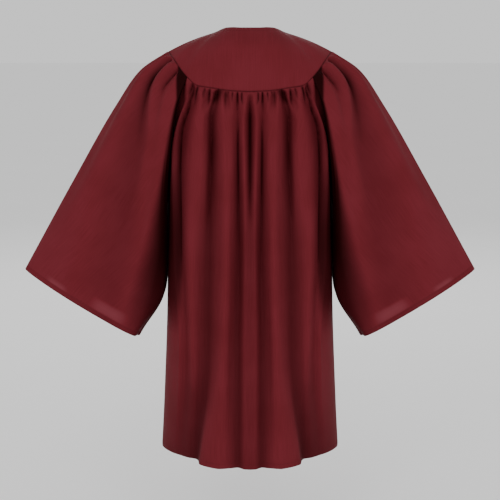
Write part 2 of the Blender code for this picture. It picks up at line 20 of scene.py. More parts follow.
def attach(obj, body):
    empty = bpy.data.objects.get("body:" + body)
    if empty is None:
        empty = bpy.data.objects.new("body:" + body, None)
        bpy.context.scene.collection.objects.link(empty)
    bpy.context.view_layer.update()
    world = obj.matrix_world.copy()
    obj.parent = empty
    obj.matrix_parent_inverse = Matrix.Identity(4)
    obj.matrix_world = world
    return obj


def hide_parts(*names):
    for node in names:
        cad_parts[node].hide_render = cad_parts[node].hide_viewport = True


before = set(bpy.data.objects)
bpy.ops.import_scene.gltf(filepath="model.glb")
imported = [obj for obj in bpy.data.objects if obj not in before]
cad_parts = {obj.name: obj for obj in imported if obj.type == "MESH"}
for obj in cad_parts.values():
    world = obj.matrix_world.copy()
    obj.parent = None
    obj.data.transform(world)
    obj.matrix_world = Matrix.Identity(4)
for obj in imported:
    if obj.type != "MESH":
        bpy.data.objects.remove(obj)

MM = 0.001
GOWN_BODY = "gown"
TAB_BODY = "tab"
FOLD_FULLNESS = 1.3
FACING = 0.9
LEAST_LENGTH = 1e-9

Grid = np.ndarray
Point = tuple[float, float, float]
Colour = tuple[float, float, float]
log = logging.getLogger("gown")


class Side(Enum):
    """The back or the front of the gown, by the way that it faces along Y."""

    BACK = -1.0
    FRONT = 1.0


# ------------------------------------------------------------------------------------------ lines and grids


def smooth_step(value: Grid) -> Grid:
    """0 below 0, 1 above 1, and a smooth rise between them."""
    share = np.clip(value, 0.0, 1.0)
    return share * share * (3.0 - 2.0 * share)


def smooth_line(places: Grid, heights: Grid, at: Grid) -> Grid:
    """Heights on a smooth line that turns only at its own points, level past its ends.

    Args:
        places: Where the line's points are, first along the first axis.
        heights: The line's height at each point.
        at: Where the heights are wanted. Each of its entries may have a line of its own.

    Returns:
        The height at each entry of at.
    """
    at = np.asarray(at, float)
    count = len(places)
    places, heights = (
        np.broadcast_to(np.reshape(t, (count, *[1] * at.ndim)) if np.ndim(t) == 1 else t, (count, *at.shape))
        for t in (np.asarray(places, float), np.asarray(heights, float))
    )
    steps = np.diff(places, axis=0)
    rises = np.diff(heights, axis=0) / steps
    slope = np.zeros(places.shape)
    near, far = 2 * steps[1:] + steps[:-1], steps[1:] + 2 * steps[:-1]
    before, after = rises[:-1], rises[1:]
    with np.errstate(divide="ignore", invalid="ignore"):
        shared = (near + far) / (near / before + far / after)
    slope[1:-1] = np.where(before * after > 0, shared, 0.0)
    slope[0], slope[-1] = rises[0], rises[-1]
    at = np.clip(at, places[0], places[-1])
    left = np.clip((at[None] >= places).sum(axis=0) - 1, 0, count - 2)

    def pick(table: Grid, step: int = 0) -> Grid:
        """The entry of a table at each place's own stretch of the line."""
        return np.take_along_axis(table, (left + step)[None], axis=0)[0]

    width = pick(steps)
    t = (at - pick(places)) / width
    rest = 1 - t
    return (
        pick(heights) * (1 + 2 * t) * rest**2
        + pick(slope) * width * t * rest**2
        + pick(heights, 1) * t**2 * (3 - 2 * t)
        + pick(slope, 1) * width * t**2 * (t - 1)
    )


def grid_normals(grid: Grid, closed: bool = False) -> Grid:
    """The outward direction at each point of a grid of rows and columns.

    Args:
        grid: The points.
        closed: Whether the last column meets the first.

    Returns:
        The directions, each of length 1.
    """
    if closed:
        along = np.roll(grid, -1, axis=1) - np.roll(grid, 1, axis=1)
    else:
        along = np.gradient(grid, axis=1)
    normals = np.cross(np.gradient(grid, axis=0), along)
    return normals / np.maximum(np.linalg.norm(normals, axis=2, keepdims=True), LEAST_LENGTH)


def evened(normals: Grid, closed: bool, passes: int) -> Grid:
    """Directions shared with their neighbours, so that the wall under a tight fold stays whole.

    Args:
        normals: The direction at each point of a grid.
        closed: Whether the grid's last column meets its first.
        passes: How many times they are shared.

    Returns:
        The shared directions, each of length 1.
    """
    for _ in range(passes):
        if closed:
            beside = np.roll(normals, 1, axis=1) + np.roll(normals, -1, axis=1)
        else:
            padded = np.pad(normals, ((0, 0), (1, 1), (0, 0)), mode="edge")
            beside = padded[:, :-2] + padded[:, 2:]
        padded = np.pad(normals, ((1, 1), (0, 0), (0, 0)), mode="edge")
        normals = 2 * normals + beside + padded[:-2] + padded[2:]
        normals = normals / np.linalg.norm(normals, axis=2, keepdims=True)
    return normals


def run_from_edge(grid: Grid, axis: int, last: bool = False) -> Grid:
    """How far each point is from an edge, measured along its row or column.

    Args:
        grid: The points.
        axis: 0 to measure down the columns, and 1 along the rows.
        last: Whether the edge is the last row or column, and not the first.

    Returns:
        The distance of each point.
    """
    turned = np.flip(grid, axis) if last else grid
    steps = np.linalg.norm(np.diff(turned, axis=axis), axis=2)
    start = np.zeros_like(np.take(steps, [0], axis=axis))
    found = np.concatenate([start, np.cumsum(steps, axis=axis)], axis=axis)
    return np.flip(found, axis) if last else found


def mirrored(grid: Grid) -> Grid:
    """A grid on the other side of the gown, with its columns turned round."""
    return (grid * np.array([-1.0, 1.0, 1.0]))[:, ::-1]


def whole(half: Grid) -> Grid:
    """A grid that goes on over the middle of the back."""
    return np.concatenate([mirrored(half)[:, :-1], half], axis=1)


def shares_from_seam(count: int, length: float, first: float) -> Grid:
    """Shares of a length that start with a small step at the seam and grow evenly.

    Args:
        count: How many steps there are.
        length: The whole length.
        first: The length of the first step.

    Returns:
        The shares, from 0 to 1.
    """
    power, power_step = 1.0, 0.02
    while (1.0 / count) ** power * length > first:
        power += power_step
    return np.linspace(0.0, 1.0, count + 1) ** power


# ------------------------------------------------------------------------------------- the gown's own forms


@dataclass(frozen=True)
class Section:
    """The body of the gown at one level. Exponent 2 is an ellipse, and more is squarer."""

    drop: float
    half_width: float
    back: float
    front: float
    exponent: float


@dataclass(frozen=True)
class BodyForm:
    """The filled-out body of the gown in level sections."""

    sections: tuple[Section, ...] = (
        Section(60, 113, 82, 74, 2.9),
        Section(95, 120, 93, 84, 2.8),
        Section(150, 126, 100, 93, 2.5),
        Section(200, 128, 104, 98, 2.3),
        Section(300, 131, 108, 102, 2.1),
        Section(440, 134, 112, 106, 2.0),
        Section(600, 141.5, 117, 111, 1.8),
        Section(690, 147, 120, 114, 1.65),
    )
    hem_drop: float = 683.0
    widest_share: float = 0.9995

    def size(self, column: str, drop: Grid) -> Grid:
        """One column of the table at each drop."""
        return smooth_line([s.drop for s in self.sections], [getattr(s, column) for s in self.sections], drop)

    def angle(self, across: Grid, drop: Grid) -> Grid:
        """The angle round the body, from its middle, of a place across."""
        share = np.minimum(self.widest_share, np.abs(across) / self.size("half_width", drop))
        return np.copysign(np.arcsin(share ** (self.size("exponent", drop) / 2)), across)

    def point(self, angle: Grid, drop: Grid, side: Side) -> tuple[Grid, Grid]:
        """Points of the plain body.

        Args:
            angle: The angle round the body from its middle.
            drop: The drop of each point.
            side: The back or the front.

        Returns:
            The points, and the outward direction at each.
        """
        angle, drop = np.broadcast_arrays(angle, drop)
        width, exponent = self.size("half_width", drop), self.size("exponent", drop)
        depth = self.size("front" if side is Side.FRONT else "back", drop)
        sine, cosine = np.sin(angle), np.round(np.cos(angle), 9)
        x = np.copysign(width * np.abs(sine) ** (2 / exponent), sine)
        y = side.value * depth * cosine ** (2 / exponent)
        outward = np.stack(
            [
                np.copysign(np.abs(x / width) ** (exponent - 1) / width, x),
                side.value * np.abs(y / depth) ** (exponent - 1) / depth,
                np.zeros_like(x),
            ],
            axis=-1,
        )
        outward /= np.linalg.norm(outward, axis=-1, keepdims=True)
        return np.stack([x, y, -drop], axis=-1), outward


@dataclass(frozen=True)
class YokeRow:
    """One row of the yoke, from the neckline to its lower edge, that rises above its chord by the bulge."""

    name: str
    neck: tuple[float, float, float]
    edge: tuple[float, float, float]
    bulge: float


@dataclass(frozen=True)
class YokeForm:
    """The shaped yoke, from the middle of the back, over the shoulder, to the zip."""

    rows: tuple[YokeRow, ...] = (
        YokeRow("back middle", (0, -47, 2), (0, -93, -94), 13),
        YokeRow("back inner", (13, -46, 2), (30, -92, -92.5), 13),
        YokeRow("back outer", (26, -41, 2.5), (58, -88, -88.5), 12),
        YokeRow("back corner", (36, -33, 2), (81, -80, -85), 10),
        YokeRow("back notch", (43, -22, 0), (97, -68, -72), 8),
        YokeRow("back slope", (47, -13, -2), (107, -54, -61), 6),
        YokeRow("back shoulder", (49, -6, -3.5), (118, -33, -47), 5),
        YokeRow("shoulder", (50, 2, -5), (129, 0, -35), 3),
        YokeRow("front shoulder", (49, 12, -10), (118, 31, -48), 3),
        YokeRow("front slope", (46.5, 25, -20), (108, 50, -61), 4),
        YokeRow("front notch", (42, 38, -33), (98, 62, -76), 4),
        YokeRow("front corner", (35, 51, -50), (85, 73, -97), 4),
        YokeRow("front outer", (24, 65, -70), (58, 83, -114), 4),
        YokeRow("front inner", (13, 76, -87), (30, 88.5, -122), 3),
        YokeRow("zip", (4.5, 83, -99), (4.5, 91, -126), 0),
    )
    shoulder_row: int = 7
    steps: int = 56
    neck_to_edge: float = 100.0
    last_step: float = 0.6

    def side_rows(self, side: Side) -> tuple[YokeRow, ...]:
        """The rows of the back or of the front, from the middle to the shoulder."""
        middle = self.shoulder_row
        return self.rows[middle:][::-1] if side is Side.FRONT else self.rows[: middle + 1]

    def point(self, column: str, across: Grid, side: Side) -> Grid:
        """Points of the neckline or of the lower edge.

        Args:
            column: Which of the two, neck or edge.
            across: Places across the lower edge.
            side: The back or the front.

        Returns:
            The point for each place.
        """
        rows = self.side_rows(side)
        places = [row.edge[0] for row in rows]
        axes = zip(*(getattr(row, column) for row in rows))
        return np.stack([smooth_line(places, axis, across) for axis in axes], -1)

    def half(self, places: Grid, side: Side) -> Grid:
        """Builds one side of the yoke.

        Args:
            places: A place across the lower edge for each column.
            side: The back or the front.

        Returns:
            The outer points, in rows from the neckline to the lower edge.
        """
        rows = self.side_rows(side)
        bulge = smooth_line([row.edge[0] for row in rows], [row.bulge for row in rows], places)
        neck, edge = self.point("neck", places, side), self.point("edge", places, side)
        chord = edge - neck
        reach = np.hypot(chord[:, 0], chord[:, 1])
        up = np.stack([-chord[:, 2] * chord[:, 0] / reach, -chord[:, 2] * chord[:, 1] / reach, reach], -1)
        up /= np.linalg.norm(up, axis=1, keepdims=True)
        shares = 1 - shares_from_seam(self.steps, self.neck_to_edge, self.last_step)[::-1]
        found = [neck + chord * t + up * (bulge * 4 * t * (1 - t))[:, None] for t in shares[:-1]]
        return np.array([*found, edge])


@dataclass(frozen=True)
class FoldLine:
    """One ridge or crease down a panel: its place across, and how far out it stands, at each level."""

    name: str
    across: tuple[float, ...]
    out: tuple[float, ...]


@dataclass(frozen=True)
class Pinch:
    """A narrow crease pressed into a panel: its place across and its depth at each drop, and its width.

    A negative width of shade falls on the side towards the middle, and a positive one on the outer side.
    """

    name: str
    drops: tuple[float, ...]
    across: tuple[float, ...]
    depth: tuple[float, ...]
    width: float
    shade: float = 0.0


@dataclass(frozen=True)
class PanelForm:
    """One side of a gathered panel, from the middle to the side seam on +X.

    A shade is painted shade in the cloth's colour, from 0 to 1, and a field named most is as dark as it gets.
    """

    side: Side
    levels: tuple[float, ...]
    folds: tuple[FoldLine, ...]
    pinches: tuple[Pinch, ...]
    fold_step: float = 1.15
    arm_steps: int = 42
    head_steps: int = 72
    rows: int = 132
    gather_run: float = 9.0
    armhole_run: float = 170.0
    underarm_drop: float = 268.0
    shaded_from: float = 106.0
    shade_run: tuple[tuple[float, ...], ...] = (
        (160, 197, 230, 258, 336, 414, 450, 480),
        (0, 0, 0.35, 0.6, 0.85, 0.74, 0.4, 0),
    )
    armhole: tuple[tuple[float, float], ...] = (
        (70, 96),
        (85, 102),
        (107, 109),
        (141, 118),
        (165, 122.5),
        (200, 127),
        (240, 129.4),
        (268, 130.2),
    )
    cloth_length: float = 590.0
    first_step: float = 0.5
    spacing_level: int = 2
    arm_crowding: float = 1.6
    free_run: float = 90.0
    pinch_run: float = 3.0
    pinch_power: float = 1.25
    shade_power: float = 1.6
    shade_spread: float = 1.3
    shade_depth: float = 7.0
    side_shade: float = 0.8
    side_shade_depth: float = 6.0
    tight_shade_drop: float = 14.0
    tight_shade_fade: float = 22.0
    tight_shade_gain: float = 1.9
    tight_shade_most: float = 0.85
    hollow_shade_below: float = 4.0
    hollow_shade_depth: float = 28.0
    hollow_shade_most: float = 0.6
    shaded_fade: float = 9.0

    def columns(self) -> Grid:
        """Numbers the columns along the yoke.

        Returns:
            Each column as a fold's number plus a share of the way to the next fold.
        """
        found: list[float] = []
        level = self.spacing_level
        for number, (fold, after) in enumerate(zip(self.folds, self.folds[1:])):
            steps = max(2, round((after.across[level] - fold.across[level]) / self.fold_step))
            found += [number + i / steps for i in range(steps)]
        return np.array([*found, len(self.folds) - 1.0])

    def seam_places(self) -> Grid:
        """Where the columns are across along the yoke's lower edge."""
        return np.interp(self.columns(), range(len(self.folds)), [fold.across[0] for fold in self.folds])

    def head_places(self, yoke: YokeForm) -> Grid:
        """The places across along the edge that takes the sleeve, from the corner to the shoulder."""
        shoulder = yoke.rows[yoke.shoulder_row].edge[0]
        return np.linspace(self.folds[-1].across[0], shoulder, self.head_steps + 1)

    def arm_drop(self, share: Grid) -> Grid:
        """How far down the armhole is at a share of the way from the yoke to the underarm."""
        top = self.armhole[0][0]
        return top + (self.underarm_drop - top) * (1 - (1 - share) ** self.arm_crowding)

    def upper_edge(self, body: BodyForm, yoke: YokeForm) -> tuple[Grid, Grid, Grid, Grid]:
        """Follows the panel's upper edge along the yoke, and then down the armhole.

        Args:
            body: The plain body that the folds stand on.
            yoke: The yoke that the panel is gathered to.

        Returns:
            Each column's number, drop, angle round the body, and way from the body to the yoke.
        """
        tops = yoke.point("edge", self.seam_places(), self.side)
        top_angles = body.angle(tops[:, 0], -tops[:, 2])
        shift = tops - body.point(top_angles, -tops[:, 2], self.side)[0]
        shares = np.arange(1, self.arm_steps + 1) / self.arm_steps
        arm_drops = self.arm_drop(shares)
        drops, across = np.array(self.armhole, float).T
        arm_angles = body.angle(smooth_line(drops, across, arm_drops), arm_drops)
        arm_angles[-1] = math.pi / 2
        return (
            np.concatenate([self.columns(), len(self.folds) - 1 + shares]),
            np.concatenate([-tops[:, 2], arm_drops]),
            np.concatenate([top_angles, arm_angles]),
            np.concatenate([shift, np.zeros((self.arm_steps, 3))]),
        )

    def pinched(self, x: Grid, drop: Grid) -> tuple[Grid, Grid]:
        """Presses in the pinches.

        Args:
            x: The place across of each point of the plain body.
            drop: The drop of each point.

        Returns:
            How far in each point is pressed, and the painted shade that the pinches give it.
        """
        pressed, shade = np.zeros_like(x), np.zeros_like(x)
        for pinch in self.pinches:
            away = x - smooth_line(pinch.drops, pinch.across, drop)
            far = np.abs(away)
            inside = (drop > pinch.drops[0]) & (drop < pinch.drops[-1])
            depth = np.where(inside, smooth_line(pinch.drops, pinch.depth, drop), 0.0)
            pressed += depth * np.exp(-((far / pinch.width) ** self.pinch_power))
            spread = self.shade_spread * pinch.width
            near = np.exp(-((far / spread) ** self.shade_power))
            shade = np.maximum(shade, depth / self.shade_depth * near)
            if pinch.shade:
                fall = np.where(away * pinch.shade > 0, abs(pinch.shade), pinch.width)
                beside = self.side_shade * depth / self.side_shade_depth * np.exp(-((far / fall) ** 2))
                shade = np.maximum(shade, beside)
        return pressed, shade

    def half(self, body: BodyForm, yoke: YokeForm) -> tuple[Grid, Grid]:
        """Builds the half panel.

        Args:
            body: The plain body that the folds stand on.
            yoke: The yoke that the panel is gathered to.

        Returns:
            The outer points, and the painted shade at each, from 0 to 1, for how deep it lies in a crease.
        """
        last = len(self.folds) - 1
        column, top_drop, top_angle, shift = self.upper_edge(body, yoke)
        gathered = column <= last
        rows = shares_from_seam(self.rows, self.cloth_length, self.first_step)[:, None]
        drop = top_drop + (body.hem_drop - top_drop) * rows
        below = drop - top_drop
        angles = [body.angle(smooth_line(self.levels, fold.across, drop), drop) for fold in self.folds]
        angles = np.array([*angles, np.full_like(drop, math.pi / 2)])
        heights = [smooth_line(self.levels, fold.out, drop) for fold in self.folds]
        heights = np.array([*heights, np.zeros_like(drop)])
        lower = np.broadcast_to(np.minimum(column.astype(int), last), drop.shape)
        before, after = (np.take_along_axis(angles, (lower + i)[None], 0)[0] for i in (0, 1))
        free = before + (after - before) * np.clip(column - lower, 0, 1)
        freed = smooth_step(below / self.free_run)
        angle = top_angle + (free - top_angle) * freed
        plain, outward = body.point(angle, drop, self.side)
        start = smooth_step(below / np.where(gathered, self.gather_run, self.armhole_run))
        out = smooth_line(angles, heights, angle) * start * FOLD_FULLNESS
        pressed, shade = self.pinched(plain[..., 0], drop)
        pressed *= smooth_step(below / np.where(gathered, self.pinch_run, self.armhole_run))
        push = outward + np.array([0.0, self.side.value, 0.0])
        push /= np.linalg.norm(push, axis=-1, keepdims=True)
        points = plain + shift * (1 - freed)[..., None] + push * (out - pressed)[..., None]
        # Painted shade: darker in the pinches just below the yoke seam, in the hollows of the folds, and at
        # the outer side, where the sleeve keeps the light off.
        tight = 1 - smooth_step((below - self.tight_shade_drop) / self.tight_shade_fade)
        shade = np.maximum(shade, np.minimum(self.tight_shade_gain * shade, self.tight_shade_most) * tight)
        hollow = np.clip((self.hollow_shade_below - out) / self.hollow_shade_depth, 0, self.hollow_shade_most) * start
        outer = smooth_step((plain[..., 0] - self.shaded_from) / self.shaded_fade)
        outer = outer * smooth_line(*self.shade_run, drop)
        light = (1 - np.clip(shade, 0, 1)) * (1 - hollow) * (1 - outer)
        return points, np.clip(1 - light, 0, 1)


BACK = PanelForm(
    Side.BACK,
    (107, 138, 200, 335, 505, 683),
    (
        FoldLine("middle crease", (0, 0, 0, 0, 0, 0), (-1, -4.5, -5, -1, 1, 0.5)),
        FoldLine("middle rib", (6, 10, 8.5, 7, 8, 8), (2.5, 3.5, 3, -0.5, 1, 0)),
        FoldLine("inner crease", (19, 19, 18.5, 17.5, 20, 20), (-1, -1.5, -4.5, -8, -5, -4)),
        FoldLine("inner ridge", (28, 28, 27, 26, 29, 32), (2, 2, 1.5, -3, -3.5, 0)),
        FoldLine("short crease", (35, 34, 32, 32, 36, 41), (-1, 3.5, 3.5, 3, 2.5, 4)),
        FoldLine("main ridge", (42, 39.5, 37.5, 36, 41, 50), (3.5, 4.5, 4.5, 4.8, 5, 7)),
        FoldLine("main lip", (46, 47, 46, 50, 57, 79), (1.5, 1, 0.5, -1.5, -1.5, 4)),
        FoldLine("broad crease", (51, 59, 60, 66.5, 69, 87), (-4, -6, -7, -6.5, -5.5, -6)),
        FoldLine("small ridge", (58, 66, 67, 75, 78, 92), (0, -1, 0, -3, -3.5, -9)),
        FoldLine("small crease", (64, 72, 74, 83, 86, 97), (-3, 3.5, 3.5, 1, 1.5, -8.5)),
        FoldLine("outer ridge", (74, 80, 87, 93, 91, 103), (3.5, 4.5, 5, 4.5, 3, -7)),
        FoldLine("outer crease", (88, 99, 108, 110, 102, 114), (-3, -2, -2, -4, 0, -7)),
        FoldLine("edge ridge", (96, 108, 117, 119.5, 110, 127), (1, 6, 7.5, 3, 4, -5)),
    ),
    (
        Pinch(
            "middle",
            (97, 112, 124, 136, 160, 185, 234, 300),
            (0,) * 8,
            (0.5, 1.5, 3.5, 5, 5, 4, 2, 0),
            1.9,
        ),
        Pinch("beside the rib", (93, 97, 106, 114), (11.5, 12.5, 12.5, 10.5), (0, 3.4, 3.0, 0), 1.0),
        Pinch(
            "inner",
            (92, 98, 106, 128, 151, 197, 258, 336, 410),
            (18.5, 19, 19, 19, 18.5, 18.5, 18.5, 18, 18),
            (0.5, 3.4, 3.6, 0.8, 3, 4, 3.6, 1.5, 0),
            1.1,
        ),
        Pinch("short inner", (92, 97, 104, 112), (26, 26.5, 27, 26.5), (0, 2.4, 1.8, 0), 1.0),
        Pinch("hook inner", (91, 95, 99, 106), (32, 33, 34.5, 34), (0, 2.4, 2.0, 0), 1.0),
        Pinch("short outer", (91, 98, 108, 120), (36, 37, 37, 36.5), (1, 2.8, 2.0, 0), 1.2),
        Pinch("second hook", (90, 95, 103, 112), (44.5, 45.5, 46, 45), (0, 2.4, 2.0, 0), 1.1),
        Pinch(
            "broad",
            (90, 98, 118, 137, 182, 236, 330, 400),
            (47.5, 50.5, 58.5, 60.5, 61, 63.5, 66.5, 68),
            (3, 4, 2.8, 3.2, 3.6, 2.8, 1.4, 0),
            2.4,
            -8.0,
        ),
        Pinch("first fork", (90, 96, 108, 122), (50.5, 52.5, 55, 57), (0, 3.0, 2.4, 0), 1.1),
        Pinch("second short", (88, 96, 106, 118), (60.5, 62, 63, 64), (1, 3.4, 2.4, 0), 1.3),
        Pinch("third hook", (86, 92, 98, 105), (68.5, 69, 70, 70.5), (0, 2.2, 1.8, 0), 1.1),
        Pinch("third short", (84, 92, 104, 116), (78.5, 81, 84, 86), (1, 3.6, 2.6, 0), 1.8),
        Pinch("corner", (78, 84, 94, 106), (86.5, 88, 91, 94), (0, 3.0, 2.6, 0), 1.3),
        Pinch(
            "outer",
            (82, 96, 108, 120, 139, 155, 186, 217, 263, 326, 430),
            (85, 88, 92, 95, 102, 106, 109.5, 110.5, 111, 111, 111),
            (1, 3, 4.2, 4.8, 5.5, 5.5, 6, 6, 5, 3.5, 0),
            1.5,
        ),
        Pinch(
            "low inner",
            (330, 400, 480, 600, 700),
            (18.5, 19, 19.5, 19.5, 19.5),
            (0, 1.2, 1.5, 1.9, 1.9),
            6.5,
        ),
        Pinch(
            "low broad",
            (250, 336, 414, 493, 572, 640, 700),
            (61, 64, 68, 69, 77, 86, 89),
            (0, 1.2, 1.7, 1.7, 2, 2.2, 2.2),
            8.0,
        ),
        Pinch("low side", (480, 540, 572, 640, 700), (99, 97, 95, 97, 100), (0, 1, 1.8, 1.5, 1.4), 13.0),
        Pinch("low middle", (270, 336, 414, 500, 600, 700), (0,) * 6, (0, 0.9, 0.9, 0.7, 0.7, 0.4), 9.0),
        Pinch(
            "side edge",
            (430, 470, 505, 560, 610),
            (107, 108, 109.5, 112, 117),
            (0, -1.2, -2.0, -1.4, 0),
            2.6,
        ),
    ),
)
FRONT = PanelForm(
    Side.FRONT,
    (132, 165, 240, 370, 520, 683),
    (
        FoldLine("zip edge", (4.5, 4.5, 4.5, 4.5, 4.5, 4.5), (0, 0, 0, 0, 0, 0)),
        FoldLine("placket", (14, 14, 15, 16, 16, 18), (1, 1, 1, 1, 1, 1)),
        FoldLine("first crease", (22, 23, 25, 26, 28, 32), (-6, -8, -8, -5, -5, -5)),
        FoldLine("first ridge", (31, 33, 37, 42, 45, 50), (3, 4, 5, 4, 4, 5)),
        FoldLine("second crease", (41, 44, 50, 57, 61, 68), (-6, -8, -8, -5, -4, -6)),
        FoldLine("second ridge", (52, 56, 64, 73, 78, 84), (3, 4, 5, 4, 4, 5)),
        FoldLine("third crease", (64, 69, 79, 87, 92, 98), (-6, -8, -7, -4, -3, -5)),
        FoldLine("third ridge", (77, 83, 94, 101, 106, 110), (3, 4, 5, 4, 3, 4)),
        FoldLine("fourth crease", (88, 95, 106, 112, 117, 122), (-6, -8, -8, -3, -2, -3)),
        FoldLine("edge ridge", (97, 104, 115, 120, 124, 130), (0, 3, 3, 1, 1, 1)),
    ),
    (
        Pinch("first", (122, 136, 165, 240, 330), (22, 22, 23, 25, 26), (2, 4, 5, 4, 0), 2.2),
        Pinch("second", (118, 130, 165, 240, 340), (40, 41, 44, 50, 54), (2, 5, 5, 3, 0), 2.4),
        Pinch("third", (112, 126, 165, 240, 320), (62, 64, 69, 79, 84), (2, 4, 5, 3, 0), 2.4),
        Pinch("fourth", (98, 120, 165, 240, 330), (86, 89, 95, 106, 110), (1, 4, 6, 5, 0), 2.4),
        Pinch("short first", (121, 127, 136, 148), (30, 31, 31, 31.5), (1, 3, 2, 0), 1.8),
        Pinch("short second", (117, 122, 132, 143), (51, 52, 53, 54), (1, 3, 2.5, 0), 1.8),
        Pinch("short third", (108, 114, 124, 138), (74, 75, 77, 79), (1, 3, 2, 0), 1.8),
    ),
)


@dataclass(frozen=True)
class SleeveFold:
    """One ridge or crease down a sleeve: its share of the way round, and its heights, at each level."""

    name: str
    place: tuple[float, ...]
    back: tuple[float, ...]
    front: tuple[float, ...]


@dataclass(frozen=True)
class SleeveLine:
    """A line down the sleeve by its share round: three points, then its half turns round the cuff."""

    share: float
    near: tuple[float, float, float]
    middle: tuple[float, float, float]
    low: tuple[float, float, float]
    turn: float


@dataclass(frozen=True)
class SleevePinch:
    """A narrow crease on a sleeve: shares round and depths at shares of its length, and its width."""

    name: str
    lengths: tuple[float, ...]
    shares: tuple[float, ...]
    depth: tuple[float, ...]
    width: float
    front: bool = False


@dataclass(frozen=True)
class PaintedBacklightPatch:
    """A patch of painted light near the cuff, where light comes through the cloth, longer along the cuff."""

    across: float
    drop: float
    half_length: float
    half_width: float
    strength: float
    cuff_run: float = 0.86
    cuff_rise: float = 0.51

    def strength_at(self, across: Grid, drop: Grid) -> Grid:
        """How much painted light there is, for light that comes through the cloth.

        Args:
            across: Places across.
            drop: Their drops.

        Returns:
            The share of painted light at each place.
        """
        x, y = across - self.across, drop - self.drop
        along, off = self.cuff_run * x - self.cuff_rise * y, self.cuff_rise * x + self.cuff_run * y
        return self.strength * np.exp(-((along / self.half_length) ** 4) - (off / self.half_width) ** 4)


